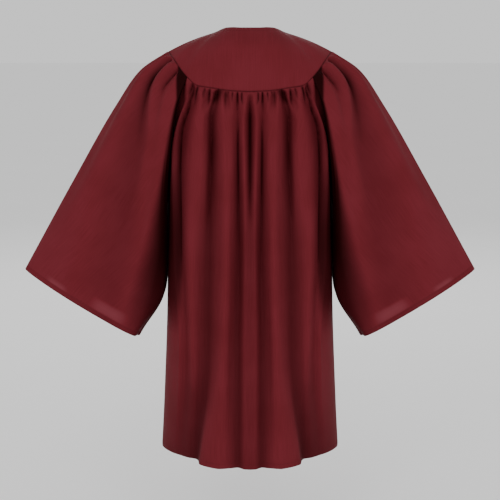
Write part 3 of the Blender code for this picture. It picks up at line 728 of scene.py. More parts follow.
@dataclass(frozen=True)
class SleeveForm:
    """The +X bell sleeve, gathered at its head.

    A shade is painted shade in the cloth's colour, from 0 to 1, and a field named most is as dark as that
    shade gets. The pale cloth and the patches are painted light that comes through the cloth. Shares are of
    the sleeve's length, from the armhole to the cuff, but for a line's and a fold's, which go from the top
    line round to the underarm.
    """

    reach: float = 365.0
    cuff_drop: float = 384.0
    cuff_low_across: float = 180.0
    cuff_low_drop: float = 494.0
    cuff_half_depth: float = 42.0
    cuff_skew: float = 0.38
    length: float = 430.0
    half_round: float = 300.0
    gather_run: float = 9.0
    pinch_run: float = 5.0
    pinch_power: float = 1.3
    pinch_shade_depth: float = 5.0
    pinch_shade_most: float = 0.7
    hollow_shade_depth: float = 26.0
    hollow_shade_most: float = 0.3
    rows: int = 100
    first_step: float = 0.6
    cuff_share: float = 0.975
    cuff_rows: tuple[float, ...] = (0.9762, 0.979, 0.9818, 0.985, 0.9885, 0.992, 0.9955, 0.998, 1.0)
    turned_share: float = 0.978
    turned_step: float = 0.006
    turned_shade: float = 0.06
    shade_edge: tuple[tuple[float, ...], ...] = (
        (106, 128, 151, 197, 285, 345, 375, 430, 494),
        (113, 119, 124, 133, 155, 171, 182, 200, 214),
    )
    shade_fade: tuple[tuple[float, ...], ...] = ((110, 205, 285, 345, 430, 494), (4, 9, 20, 34, 54, 60))
    shade_strength: tuple[tuple[float, ...], ...] = ((100, 330, 430, 500), (1.0, 1.0, 0.75, 0.4))
    shade_start: float = 0.15
    # Painted light: the cloth is drawn paler towards the cuff, where light comes through it.
    pale: float = 0.08
    painted_light_from: float = 210.0
    painted_light_run: float = 130.0
    levels: tuple[float, ...] = (0.03, 0.12, 0.30, 0.62, 1.0)
    folds: tuple[SleeveFold, ...] = (
        SleeveFold("top edge", (0, 0, 0, 0, 0), (0, 0, 0, 0, 0), (0, 0, 0, 0, 0)),
        SleeveFold("top gather", (0.06, 0.06, 0.07, 0.08, 0.1), (-2, -1, 0, 0, 0), (-2, -1, 0, 0, 0)),
        SleeveFold("top ridge", (0.11, 0.12, 0.14, 0.18, 0.22), (3, 3, 2, 1, 0), (3, 3, 3, 2, 1)),
        SleeveFold("long crease", (0.17, 0.24, 0.34, 0.44, 0.5), (-5, -7, -6, -5, -3), (-5, -6, -5, -4, -4)),
        SleeveFold("middle ridge", (0.27, 0.33, 0.42, 0.53, 0.6), (4, 2, -1, -1, -1), (4, 3, 1, 1, 1)),
        SleeveFold("short crease", (0.37, 0.39, 0.47, 0.58, 0.66), (-4, -2, 1, 1, 1), (-4, -3, -2, -1, -1)),
        SleeveFold("main ridge", (0.47, 0.49, 0.54, 0.62, 0.74), (3, 4, 4, 4, 3), (3, 3, 4, 3, 3)),
        SleeveFold("inner crease", (0.58, 0.60, 0.68, 0.78, 0.86), (0, 0, 0, 0, -1), (0, 0, 0, 0, -1)),
        SleeveFold("inner ridge", (0.72, 0.73, 0.80, 0.88, 0.93), (0, 0, 0, 0, 0), (0, 0, 0, 0, 0)),
        SleeveFold("underarm", (1, 1, 1, 1, 1), (0, 0, 0, 0, 0), (0, 0, 0, 0, 0)),
    )
    lines: tuple[SleeveLine, ...] = (
        SleeveLine(0.00, (172.5, 0, -64), (212, 0, -119), (280, 0, -234), 0.00),
        SleeveLine(0.20, (158, -36, -70), (191, -40, -122), (252, -33, -233), 0.24),
        SleeveLine(0.45, (131, -76, -102), (157, -75, -185), (200, -62, -315), 0.56),
        SleeveLine(0.63, (111, -89, -112), (130, -77, -205), (146, -50, -345), 0.76),
        SleeveLine(0.80, (133.5, -38, -240), (131.5, -28, -330), (136, -24, -408), 0.89),
        SleeveLine(1.00, (140, 0, -312), (142, 0, -370), (149, 0, -432), 1.00),
    )
    pinches: tuple[SleevePinch, ...] = (
        SleevePinch(
            "long",
            (0, 0.03, 0.10, 0.2, 0.34),
            (0.15, 0.165, 0.21, 0.28, 0.36),
            (1, 3.4, 4.2, 2, 0),
            5.5,
        ),
        SleevePinch("short", (0, 0.03, 0.08, 0.13), (0.36, 0.37, 0.38, 0.395), (1, 3.0, 2.5, 0), 3.0),
        SleevePinch("upper", (0, 0.02, 0.06, 0.10), (0.085, 0.09, 0.095, 0.10), (1, 1.8, 1.2, 0), 2.4),
        SleevePinch("beside", (0, 0.02, 0.05, 0.09), (0.24, 0.25, 0.26, 0.27), (1, 1.8, 1.4, 0), 2.6),
        SleevePinch("low", (0, 0.02, 0.05, 0.08), (0.46, 0.465, 0.47, 0.475), (1, 1.5, 1.0, 0), 2.6),
        SleevePinch(
            "front long",
            (0, 0.03, 0.1, 0.2, 0.32),
            (0.17, 0.18, 0.23, 0.29, 0.35),
            (1, 2.5, 2.2, 1, 0),
            4.0,
            front=True,
        ),
        SleevePinch(
            "front short",
            (0, 0.03, 0.09, 0.15),
            (0.37, 0.375, 0.39, 0.41),
            (1, 3, 2.5, 0),
            3.0,
            front=True,
        ),
        SleevePinch(
            "front upper",
            (0, 0.02, 0.05, 0.09),
            (0.1, 0.1, 0.105, 0.11),
            (1, 1.8, 1.2, 0),
            2.4,
            front=True,
        ),
        SleevePinch(
            "front low",
            (0, 0.02, 0.06, 0.10),
            (0.5, 0.5, 0.51, 0.52),
            (1, 2, 1.5, 0),
            2.6,
            front=True,
        ),
    )
    # Patches of painted light by the cuff, where light comes through the cloth.
    patches: tuple[PaintedBacklightPatch, ...] = (PaintedBacklightPatch(227, 446, 29, 9.5, 0.68), PaintedBacklightPatch(310, 404, 17, 4, 0.55))

    def cuff_point(self, turn: Grid) -> Grid:
        """Points of the cuff.

        Args:
            turn: Angles from the cuff's outer corner, towards the back first.

        Returns:
            The point at each angle.
        """
        outer = np.array([self.reach, 0.0, -self.cuff_drop])
        inner = np.array([self.cuff_low_across, 0.0, -self.cuff_low_drop])
        middle, arm = (outer + inner) / 2, (outer - inner) / 2
        turn = np.asarray(turn, float)[..., None]
        depth = self.cuff_half_depth * np.sin(turn) * (1 - self.cuff_skew * np.cos(turn))
        return middle + arm * np.cos(turn) - depth * np.array([0.0, 1.0, 0.0])

    def along_lines(self, column: str, share: Grid) -> Grid:
        """One column of the table of lines.

        Args:
            column: The column's name.
            share: Shares of the way round.

        Returns:
            The column's numbers for each share, on the last axis.
        """
        shares = [line.share for line in self.lines]
        rows = np.array([getattr(line, column) for line in self.lines], float).reshape(len(shares), -1)
        return np.stack([smooth_line(shares, numbers, share) for numbers in rows.T], -1)

    def smooth_form(self, ring: Grid, share: Grid, facing: Grid, at: Grid) -> Grid:
        """The sleeve before its folds, on smooth lines from the armhole to the cuff.

        Args:
            ring: The armhole's points.
            share: Each column's share of the way from the top line to the underarm.
            facing: 1 for each column at the front, and -1 at the back.
            at: The share of the length at each point.

        Returns:
            The points.
        """
        mirror = np.stack([np.ones(len(ring)), -facing, np.ones(len(ring))], -1)
        middle = [self.along_lines(column, share) * mirror for column in ("near", "middle", "low")]
        cuff = self.cuff_point(-facing * math.pi * self.along_lines("turn", share)[:, 0])
        knots = np.array([ring, *middle, cuff])
        lengths = np.linalg.norm(np.diff(knots, axis=0), axis=2)
        places = np.concatenate([np.zeros((1, len(ring))), np.cumsum(lengths, axis=0)]) / lengths.sum(axis=0)
        wide = np.broadcast_to(places[:, None], (len(places), *at.shape))
        axes = [np.broadcast_to(knots[:, None, :, i], wide.shape) for i in range(3)]
        return np.stack([smooth_line(wide, axis, at) for axis in axes], -1)

    def shaded(self, plain: Grid, at: Grid, fronts: Grid, crease: Grid) -> Grid:
        """Adds painted shade under the arm and on the cuff's turned band, and painted light towards the cuff.

        Args:
            plain: The points before their folds.
            at: The share of the length at each point.
            fronts: Whether each point is at the front.
            crease: The painted shade of the creases at each point.

        Returns:
            The painted shade at each point, up to 1, and painted light below 0 where light comes through the
            cloth.
        """
        across, drop = plain[..., 0], -plain[..., 2]
        edge, fade = smooth_line(*self.shade_edge, drop), smooth_line(*self.shade_fade, drop)
        under = smooth_step((edge - across) / fade + self.shade_start)
        under = under * smooth_line(*self.shade_strength, drop)
        # Painted shade from the creases and from under the arm.
        deep = np.clip(np.maximum(crease, under), 0, 1)
        flat = 1 - np.clip(3 * deep, 0, 1)
        # Painted light towards the cuff, less where the cloth lies in painted shade.
        painted_backlight = self.pale * smooth_step((drop - self.painted_light_from) / self.painted_light_run) * flat
        for patch in self.patches:
            painted_backlight = np.maximum(painted_backlight, np.where(fronts, 0.0, patch.strength_at(across, drop)))
        # The cuff's turned band gets no painted light and a little painted shade.
        turned = smooth_step((at - self.turned_share) / self.turned_step)
        return deep - painted_backlight * (1 - turned) + self.turned_shade * turned

    def grid(self, ring: Grid) -> tuple[Grid, Grid]:
        """Builds the sleeve.

        Args:
            ring: The armhole's points from the shoulder, down the back and up the front.

        Returns:
            The outer points, and the painted shade at each, up to 1, with painted light below 0 where light
            comes through.
        """
        count = len(ring)
        half = count // 2
        number = np.arange(count)
        front = number > half
        share = np.minimum(number, count - number) / half
        row = shares_from_seam(self.rows, self.length, self.first_step)
        row = np.sort(np.append(row[row < self.cuff_share], self.cuff_rows))
        at = np.broadcast_to(row[:, None], (len(row), count))
        plain = self.smooth_form(ring, share, np.where(front, 1.0, -1.0), at)
        normals = -grid_normals(plain, closed=True)
        shares, fronts = np.broadcast_to(share, at.shape), np.broadcast_to(front, at.shape)
        line = np.array([smooth_line(self.levels, fold.place, at) for fold in self.folds])
        heights = [
            np.where(fronts, smooth_line(self.levels, f.front, at), smooth_line(self.levels, f.back, at))
            for f in self.folds
        ]
        start = smooth_step(at * self.length / self.gather_run)
        out = smooth_line(line, np.array(heights), shares) * start * FOLD_FULLNESS
        pressed = np.zeros_like(out)
        for pinch in self.pinches:
            off = shares - smooth_line(pinch.lengths, pinch.shares, at)
            away = np.abs(off) * self.half_round / pinch.width
            inside = (at < pinch.lengths[-1]) & (fronts == pinch.front)
            depth = np.where(inside, smooth_line(pinch.lengths, pinch.depth, at), 0.0)
            pressed += depth * np.exp(-(away**self.pinch_power))
        pressed *= smooth_step(at * self.length / self.pinch_run)
        # Painted shade in the pinches and in the hollows of the folds.
        crease = np.clip(pressed / self.pinch_shade_depth, 0, self.pinch_shade_most)
        crease = crease + np.clip(-out / self.hollow_shade_depth, 0, self.hollow_shade_most)
        points = plain + normals * (out - pressed)[..., None]
        return points, self.shaded(plain, at, fronts, crease)


# ---------------------------------------------------------------------------------------- sheets of cloth


@dataclass
class Sheet:
    """A cloth piece as a grid of outer points, with turned edges and seams that draw in.

    Its crease is the painted shade at each point, up to 1, and painted light below 0 where light comes
    through it.
    """

    name: str
    grid: Grid
    crease: Grid
    closed: bool = False
    seams: tuple[str, ...] = ()
    turned: tuple[str, ...] = ()
    stitched: tuple[str, ...] = ()
    thickness: float = 0.7
    turned_width: float = 9.0
    stitch_inset: float = 8.0
    turned_extra: float = 0.9
    turned_step: float = 1.2
    edge_depth: float = 0.45
    edge_run: float = 0.9
    stitch_depth: float = 0.28
    stitch_run: float = 0.9
    seam_depth: float = 0.9
    seam_run: float = 2.4
    seam_shade: float = 0.65
    shade_run: float = 1.5
    sharp_angle: float = 55.0
    normals: Grid = field(init=False)
    runs: dict[str, Grid] = field(init=False)

    def __post_init__(self) -> None:
        """Works out the outward directions and the distances from each edge."""
        self.normals = evened(grid_normals(self.grid, self.closed), self.closed, passes=2)
        grid = np.concatenate([self.grid, self.grid[:, :1]], axis=1) if self.closed else self.grid
        edges = {"top": (0, False), "bottom": (0, True), "first": (1, False), "last": (1, True)}
        self.runs = {name: run_from_edge(grid, *where) for name, where in edges.items()}

    def run(self, edge: str) -> Grid:
        """The distance of each point from one edge."""
        found = self.runs[edge]
        return found[:, :-1] if self.closed else found

    def edge_spots(self) -> list[tuple[int, int]]:
        """Lists the points on the piece's edge.

        Returns:
            The row and column of each.
        """
        rows, columns = self.grid.shape[:2]
        spots = [(row, column) for row in (0, rows - 1) for column in range(columns)]
        if not self.closed:
            spots += [(row, column) for row in range(1, rows - 1) for column in (0, columns - 1)]
        return spots

    def walls(self) -> tuple[Grid, Grid]:
        """Draws in the seams, and thickens the turned edges.

        Returns:
            The outer points and the inner ones.
        """
        sunk = np.zeros(self.grid.shape[:2])
        for edge in self.seams:
            sunk = np.maximum(sunk, self.seam_depth * (1 - smooth_step(self.run(edge) / self.seam_run)))
        thick = np.full(sunk.shape, self.thickness)
        for edge in self.turned:
            run = self.run(edge)
            thick += self.turned_extra * (1 - smooth_step((run - self.turned_width) / self.turned_step))
            sunk += self.edge_depth * (1 - smooth_step(run / self.edge_run))
        for edge in self.turned + self.stitched:
            away = (self.run(edge) - self.stitch_inset) / self.stitch_run
            sunk += self.stitch_depth * np.exp(-(away**2))
        outer = self.grid - self.normals * sunk[..., None]
        return outer, outer - self.normals * thick[..., None]

    def mirror(self, name: str) -> "Sheet":
        """The same piece on the other side of the gown.

        Args:
            name: That piece's name.

        Returns:
            The piece.
        """
        swap = {"first": "last", "last": "first"}
        groups = (self.seams, self.turned, self.stitched)
        edges = (tuple(swap.get(edge, edge) for edge in group) for group in groups)
        return Sheet(name, mirrored(self.grid), self.crease[:, ::-1], self.closed, *edges)

    def stitch_line(self, edge: str) -> tuple[Grid, Grid]:
        """The line on the outer wall that the stitches along one edge follow.

        Args:
            edge: The edge's name.

        Returns:
            The line's points, and the outward direction at each.
        """
        run, outer, normals = self.run(edge), self.walls()[0], self.normals
        if edge in ("first", "last"):
            run, outer, normals = run.T, outer.transpose(1, 0, 2), normals.transpose(1, 0, 2)
        if edge in ("bottom", "last"):
            run, outer, normals = run[::-1], outer[::-1], normals[::-1]
        after = np.clip((run < self.stitch_inset).sum(axis=0), 1, len(run) - 1)
        near, far = (np.take_along_axis(run, (after - i)[None], 0)[0] for i in (1, 0))
        share = np.clip((self.stitch_inset - near) / (far - near), 0, 1)[:, None]
        found = []
        for table in (outer, normals):
            low, high = (np.take_along_axis(table, (after - i)[None, :, None], 0)[0] for i in (1, 0))
            found.append(low + (high - low) * share)
        if self.closed:
            found = [np.concatenate([table, table[:1]]) for table in found]
        return found[0], found[1]

    def faces(self) -> tuple[Grid, Grid]:
        """Numbers the faces of a closed shell: the outer wall, the inner wall and the rim.

        Returns:
            The corners of each face by number, and the places of the same corners in the map of the cloth.
        """
        rows, columns = self.grid.shape[:2]
        total = rows * columns
        spans = columns if self.closed else columns - 1
        number = np.arange(total).reshape(rows, columns)
        if self.closed:
            number = np.concatenate([number, number[:, :1]], axis=1)
        spot = np.arange(rows * (spans + 1)).reshape(rows, spans + 1)

        def patches(index: Grid) -> Grid:
            """The four corners of each patch of the outer wall."""
            corners = (index[:-1, :-1], index[1:, :-1], index[1:, 1:], index[:-1, 1:])
            return np.stack(corners, -1).reshape(-1, 4)

        def rim(index: Grid) -> Grid:
            """The steps round the edge of the outer wall.

            Args:
                index: The number of each of the wall's corners.

            Returns:
                The two ends of each step.
            """
            steps = [(index[0, :-1], index[0, 1:]), (index[-1, 1:], index[-1, :-1])]
            if not self.closed:
                steps += [(index[1:, 0], index[:-1, 0]), (index[:-1, -1], index[1:, -1])]
            return np.concatenate([np.stack(ends, -1) for ends in steps])

        ends, spots = rim(number), rim(spot)
        band = np.stack([ends[:, 0], ends[:, 1], ends[:, 1] + total, ends[:, 0] + total], -1)
        faces = np.concatenate([patches(number), patches(number)[:, ::-1] + total, band])
        band_spots = np.stack([spots[:, i] for i in (0, 1, 1, 0)], -1)
        return faces, np.concatenate([patches(spot), patches(spot)[:, ::-1], band_spots])

    def build(self) -> bpy.types.Object:
        """Makes the piece as a closed shell, with a map of its cloth and its painted shade.

        Returns:
            The piece's object, in metres.
        """
        faces, mapped = self.faces()
        points = np.concatenate([wall.reshape(-1, 3) for wall in self.walls()]) * MM
        mesh = bpy.data.meshes.new(self.name)
        mesh.from_pydata(points.tolist(), [], faces.tolist())
        down, along = self.runs["top"], self.runs["first"]
        middle = along[:, along.shape[1] // 2][:, None]
        cloth = np.stack([along - middle, -down], -1).reshape(-1, 2) * MM
        layer = mesh.uv_layers.new(name="cloth")
        layer.data.foreach_set("uv", cloth[mapped.reshape(-1)].reshape(-1))
        # Painted shade: the crease table, darker still along the seams, goes to the material as the crease
        # attribute; below 0 it is painted light.
        dark = self.crease
        for edge in self.seams:
            near = 1 - smooth_step(self.run(edge) / self.shade_run)
            dark = np.where(near > 0, np.maximum(dark, self.seam_shade * near), dark)
        crease = mesh.attributes.new("crease", "FLOAT", "POINT")
        crease.data.foreach_set("value", np.tile(dark.reshape(-1), 2))
        mesh.shade_smooth()
        mesh.set_sharp_from_angle(angle=math.radians(self.sharp_angle))
        obj = bpy.data.objects.new(self.name, mesh)
        bpy.context.scene.collection.objects.link(obj)
        return obj


def sew(sheets: list[Sheet]) -> None:
    """Gives the points where sheets meet one shared outward direction, so that their seams close.

    Args:
        sheets: All the sheets.
    """
    meetings: dict[tuple[float, ...], list[tuple[Sheet, tuple[int, int]]]] = {}
    for sheet in sheets:
        for spot in sheet.edge_spots():
            key = tuple(np.round(sheet.grid[spot], decimals=2) + 0.0)
            meetings.setdefault(key, []).append((sheet, spot))
    for met in meetings.values():
        if len(met) > 1:
            total = sum(sheet.normals[spot] * (len(met) - 1 if sheet.closed else 1) for sheet, spot in met)
            for sheet, spot in met:
                sheet.normals[spot] = total / np.linalg.norm(total)


# ---------------------------------------------------------------------------------------------- finishes


class Value:
    """One output of a material's nodes, which takes part in sums as a number does."""

    def __init__(self, nodes: "Nodes", socket: bpy.types.NodeSocket) -> None:
        """Keeps the nodes and the socket."""
        self.nodes = nodes
        self.socket = socket

    def __add__(self, other: "Value | float") -> "Value":
        """The sum."""
        return self.nodes.sum("ADD", self, other)

    def __sub__(self, other: "Value | float") -> "Value":
        """The difference."""
        return self.nodes.sum("SUBTRACT", self, other)

    def __rsub__(self, other: float) -> "Value":
        """The difference from a number."""
        return self.nodes.sum("SUBTRACT", other, self)

    def __mul__(self, other: "Value | float") -> "Value":
        """The product."""
        return self.nodes.sum("MULTIPLY", self, other)

    __radd__ = __add__
    __rmul__ = __mul__


class Nodes:
    """A material whose nodes are added one by one."""

    def __init__(self, name: str) -> None:
        """Starts the material with its own shader.

        Args:
            name: The material's name.
        """
        self.material = bpy.data.materials.new(name)
        self.material.use_nodes = True
        self.tree = self.material.node_tree
        self.shader = self.tree.nodes["Principled BSDF"]

    def plug(self, socket: bpy.types.NodeSocket, value: object) -> None:
        """Links a value to a socket, or sets it.

        Args:
            socket: The socket.
            value: A link, a colour, a vector or a number.
        """
        if isinstance(value, Value):
            self.tree.links.new(value.socket, socket)
        elif isinstance(value, tuple) and socket.type == "RGBA":
            socket.default_value = (*value[:3], 1.0)
        else:
            socket.default_value = value

    def add(
        self, kind: str, settings: dict[str, object], inputs: dict[str | int, object], out: str | int = 0
    ) -> Value:
        """Adds one node.

        Args:
            kind: The node's type.
            settings: Its settings, such as a Math node's operation.
            inputs: A value or a link for each of its sockets, by name or number.
            out: The name or number of the output that is wanted.

        Returns:
            That output.
        """
        node = self.tree.nodes.new(kind)
        for name, setting in settings.items():
            setattr(node, name, setting)
        for name, value in inputs.items():
            self.plug(node.inputs[name], value)
        return Value(self, node.outputs[out])

    def sum(self, operation: str, *values: "Value | float") -> Value:
        """A Math node of one operation."""
        return self.add("ShaderNodeMath", {"operation": operation}, dict(enumerate(values)))

    def place(self) -> Value:
        """Places on the piece, in the gown's own frame."""
        return self.add("ShaderNodeTexCoord", {}, {}, "Object")

    def parts(self, vector: Value) -> list[Value]:
        """The three numbers of a vector."""
        node = self.add("ShaderNodeSeparateXYZ", {}, {0: vector}).socket.node
        return [Value(self, socket) for socket in node.outputs]

    def band(self, value: Value, low: float, high: float, start: float = 0.0, end: float = 1.0) -> Value:
        """A value stretched so that low and high become start and end, and held between them."""
        numbers = {"Value": value, "From Min": low, "From Max": high, "To Min": start, "To Max": end}
        return self.add("ShaderNodeMapRange", {"interpolation_type": "SMOOTHSTEP"}, numbers)

    def blend(self, share: Value, first: "Value | Colour", second: "Value | Colour") -> Value:
        """Two colours mixed by a share of the second."""
        return self.add("ShaderNodeMix", {"data_type": "RGBA"}, {0: share, 6: first, 7: second}, 2)

    def noise(self, place: Value, scale: float, detail: float = 2.0) -> Value:
        """A soft random pattern."""
        return self.add("ShaderNodeTexNoise", {}, {"Vector": place, "Scale": scale, "Detail": detail})

    def stretched(self, place: Value, scale: tuple[float, float, float]) -> Value:
        """Places with each of their numbers multiplied."""
        return self.add("ShaderNodeVectorMath", {"operation": "MULTIPLY"}, {0: place, 1: scale})

    def bump(self, height: Value, strength: float, distance: float, below: Value | None = None) -> Value:
        """A bump on the surface.

        Args:
            height: Its pattern.
            strength: How strongly it shows, up to 1.
            distance: Its height in metres.
            below: The bump that it lies on.

        Returns:
            The bumped direction.
        """
        inputs: dict[str | int, object] = {"Height": height, "Strength": strength, "Distance": distance}
        if below is not None:
            inputs["Normal"] = below
        return self.add("ShaderNodeBump", {}, inputs)

    def set(self, **sockets: object) -> None:
        """Sets or links the shader's own sockets, with _ for a space in their names."""
        for name, value in sockets.items():
            self.plug(self.shader.inputs[name.replace("_", " ")], value)


@dataclass(frozen=True)
class MaroonCloth:
    """Fine plain-woven matt maroon cloth, with painted shade in its creases and painted light where light
    comes through.
    """

    name: str = "maroon_cloth"
    colour: Colour = (0.124, 0.0134, 0.0190)
    light: Colour = (0.145, 0.0172, 0.0245)
    # The colour of painted light, where light comes through the cloth.
    painted_backlight: Colour = (0.215, 0.046, 0.060)
    shade: Colour = (0.014, 0.0006, 0.0009)
    thread: float = 0.00042
    weave_height: float = 0.00008
    streaks: Point = (900.0, 24.0, 1.0)
    cloud_scale: float = 16.0
    rumple_scale: float = 34.0
    rumple_height: float = 0.0016

    def make(self) -> bpy.types.Material:
        """Builds the material.

        Returns:
            The material.
        """
        nodes = Nodes(self.name)
        cloth = nodes.add("ShaderNodeUVMap", {"uv_map": "cloth"}, {})
        place = nodes.place()
        crease = nodes.add("ShaderNodeAttribute", {"attribute_name": "crease"}, {}, "Fac")
        streak = nodes.noise(nodes.stretched(cloth, self.streaks), 1.0, 3.0)
        soft = nodes.noise(place, self.cloud_scale, 2.0)
        colour = nodes.blend(nodes.band(streak * 0.55 + soft * 0.45, 0.36, 0.64), self.colour, self.light)
        # Painted shade by the crease attribute, and painted light where it is below 0.
        colour = nodes.blend(crease, colour, self.shade)
        colour = nodes.blend(crease * -1.0, colour, self.painted_backlight)
        turn = 2 * math.pi / (2 * self.thread)
        warp, weft = (nodes.sum("SINE", axis * turn) for axis in nodes.parts(cloth)[:2])
        weave = nodes.bump(warp * weft, 0.30, self.weave_height)
        rumple = nodes.bump(nodes.noise(place, self.rumple_scale, 2.5), 0.30, self.rumple_height, weave)
        nodes.set(Base_Color=colour, Normal=rumple, Roughness=nodes.band(streak, 0.3, 0.7, 0.56, 0.68))
        nodes.set(Sheen_Weight=0.0, Specular_IOR_Level=0.03)
        return nodes.material


@dataclass(frozen=True)
class MaroonThread:
    """Twisted sewing thread in the cloth's colour."""

    name: str = "maroon_thread"
    colour: Colour = (0.098, 0.0085, 0.0115)

    def make(self) -> bpy.types.Material:
        """Builds the material.

        Returns:
            The material.
        """
        nodes = Nodes(self.name)
        place = nodes.place()
        twist = nodes.noise(place, 2600.0, 1.0)
        dark = tuple(part * 0.55 for part in self.colour)
        nodes.set(Base_Color=nodes.blend(twist, dark, self.colour), Normal=nodes.bump(twist, 0.4, 0.0001))
        nodes.set(Roughness=0.6, Sheen_Weight=0.0, Specular_IOR_Level=0.12)
        return nodes.material


@dataclass(frozen=True)
class WovenTape:
    """Dyed zip tape with fine ribs along it."""

    name: str = "zip_tape_weave"
    colour: Colour = (0.085, 0.0085, 0.0115)
    rib: float = 0.0009
    pick: float = 0.0006

    def make(self) -> bpy.types.Material:
        """Builds the material.

        Returns:
            The material.
        """
        nodes = Nodes(self.name)
        place = nodes.place()
        across, _, up = nodes.parts(place)
        ribs = nodes.sum("SINE", across * (2 * math.pi / self.rib))
        picks = nodes.sum("SINE", up * (2 * math.pi / self.pick))
        dark = tuple(part * 0.6 for part in self.colour)
        nodes.set(Base_Color=nodes.blend(nodes.band(ribs + picks * 0.4, -1.2, 0.8), dark, self.colour))
        nodes.set(Normal=nodes.bump(ribs + picks * 0.5, 0.4, 0.00012))
        nodes.set(Roughness=0.8, Specular_IOR_Level=0.15)
        return nodes.material


@dataclass(frozen=True)
class NylonCoil:
    """Dyed nylon of the coil, mottled a little in its colour and its gloss."""

    name: str = "zip_coil_nylon"
    colour: Colour = (0.095, 0.010, 0.013)

    def make(self) -> bpy.types.Material:
        """Builds the material.

        Returns:
            The material.
        """
        nodes = Nodes(self.name)
        place = nodes.place()
        mottle = nodes.noise(place, 900.0, 2.0)
        dark = tuple(part * 0.7 for part in self.colour)
        nodes.set(Base_Color=nodes.blend(nodes.band(mottle, 0.35, 0.65), dark, self.colour))
        nodes.set(Roughness=nodes.band(mottle, 0.3, 0.7, 0.34, 0.52))
        nodes.set(Normal=nodes.bump(mottle, 0.15, 0.00005))
        return nodes.material


@dataclass(frozen=True)
class EnamelledMetal:
    """Enamel dyed to match on cast metal, worn a little to the metal in small chips."""

    name: str = "zip_enamel"
    colour: Colour = (0.150, 0.022, 0.026)
    bare: Colour = (0.42, 0.40, 0.38)

    def make(self) -> bpy.types.Material:
        """Builds the material.

        Returns:
            The material.
        """
        nodes = Nodes(self.name)
        place = nodes.place()
        grain, chips = nodes.noise(place, 1500.0, 2.0), nodes.noise(place, 780.0, 4.0)
        worn = nodes.band(chips, 0.66, 0.72)
        nodes.set(Base_Color=nodes.blend(worn, self.colour, self.bare), Metallic=worn * 0.7 + 0.3)
        nodes.set(Roughness=nodes.band(grain, 0.3, 0.7, 0.28, 0.42))
        nodes.set(Normal=nodes.bump(grain, 0.12, 0.00006))
        return nodes.material


# ------------------------------------------------------------------------------------- the modelling bench


def mesh_tables(obj: bpy.types.Object) -> tuple[Grid, list[tuple[int, ...]]]:
    """The corners of a piece's mesh, and its faces by their corners' numbers."""
    corners = np.array([corner.co for corner in obj.data.vertices], float)
    return corners, [tuple(face.vertices) for face in obj.data.polygons]


def mesh_of_copies(name: str, copies: list[Grid], faces: list[tuple[int, ...]]) -> bpy.types.Object:
    """One piece made of many copies of a small shape.

    Args:
        name: The piece's name.
        copies: The corners of each copy.
        faces: The faces of one copy.

    Returns:
        The piece's object.
    """
    size, numbers = len(copies[0]), range(len(copies))
    mesh = bpy.data.meshes.new(name)
    all_faces = [[corner + size * number for corner in face] for number in numbers for face in faces]
    mesh.from_pydata(np.concatenate(copies).tolist(), [], all_faces)
    mesh.shade_smooth()
    obj = bpy.data.objects.new(name, mesh)
    bpy.context.scene.collection.objects.link(obj)
    return obj


def joined(name: str, pieces: list[bpy.types.Object]) -> bpy.types.Object:
    """Makes pieces one object.

    Args:
        name: Its name.
        pieces: The pieces.

    Returns:
        The object.
    """
    bpy.ops.object.select_all(action="DESELECT")
    for piece in pieces:
        piece.select_set(True)
    bpy.context.view_layer.objects.active = pieces[0]
    bpy.ops.object.join()
    pieces[0].name = name
    return pieces[0]


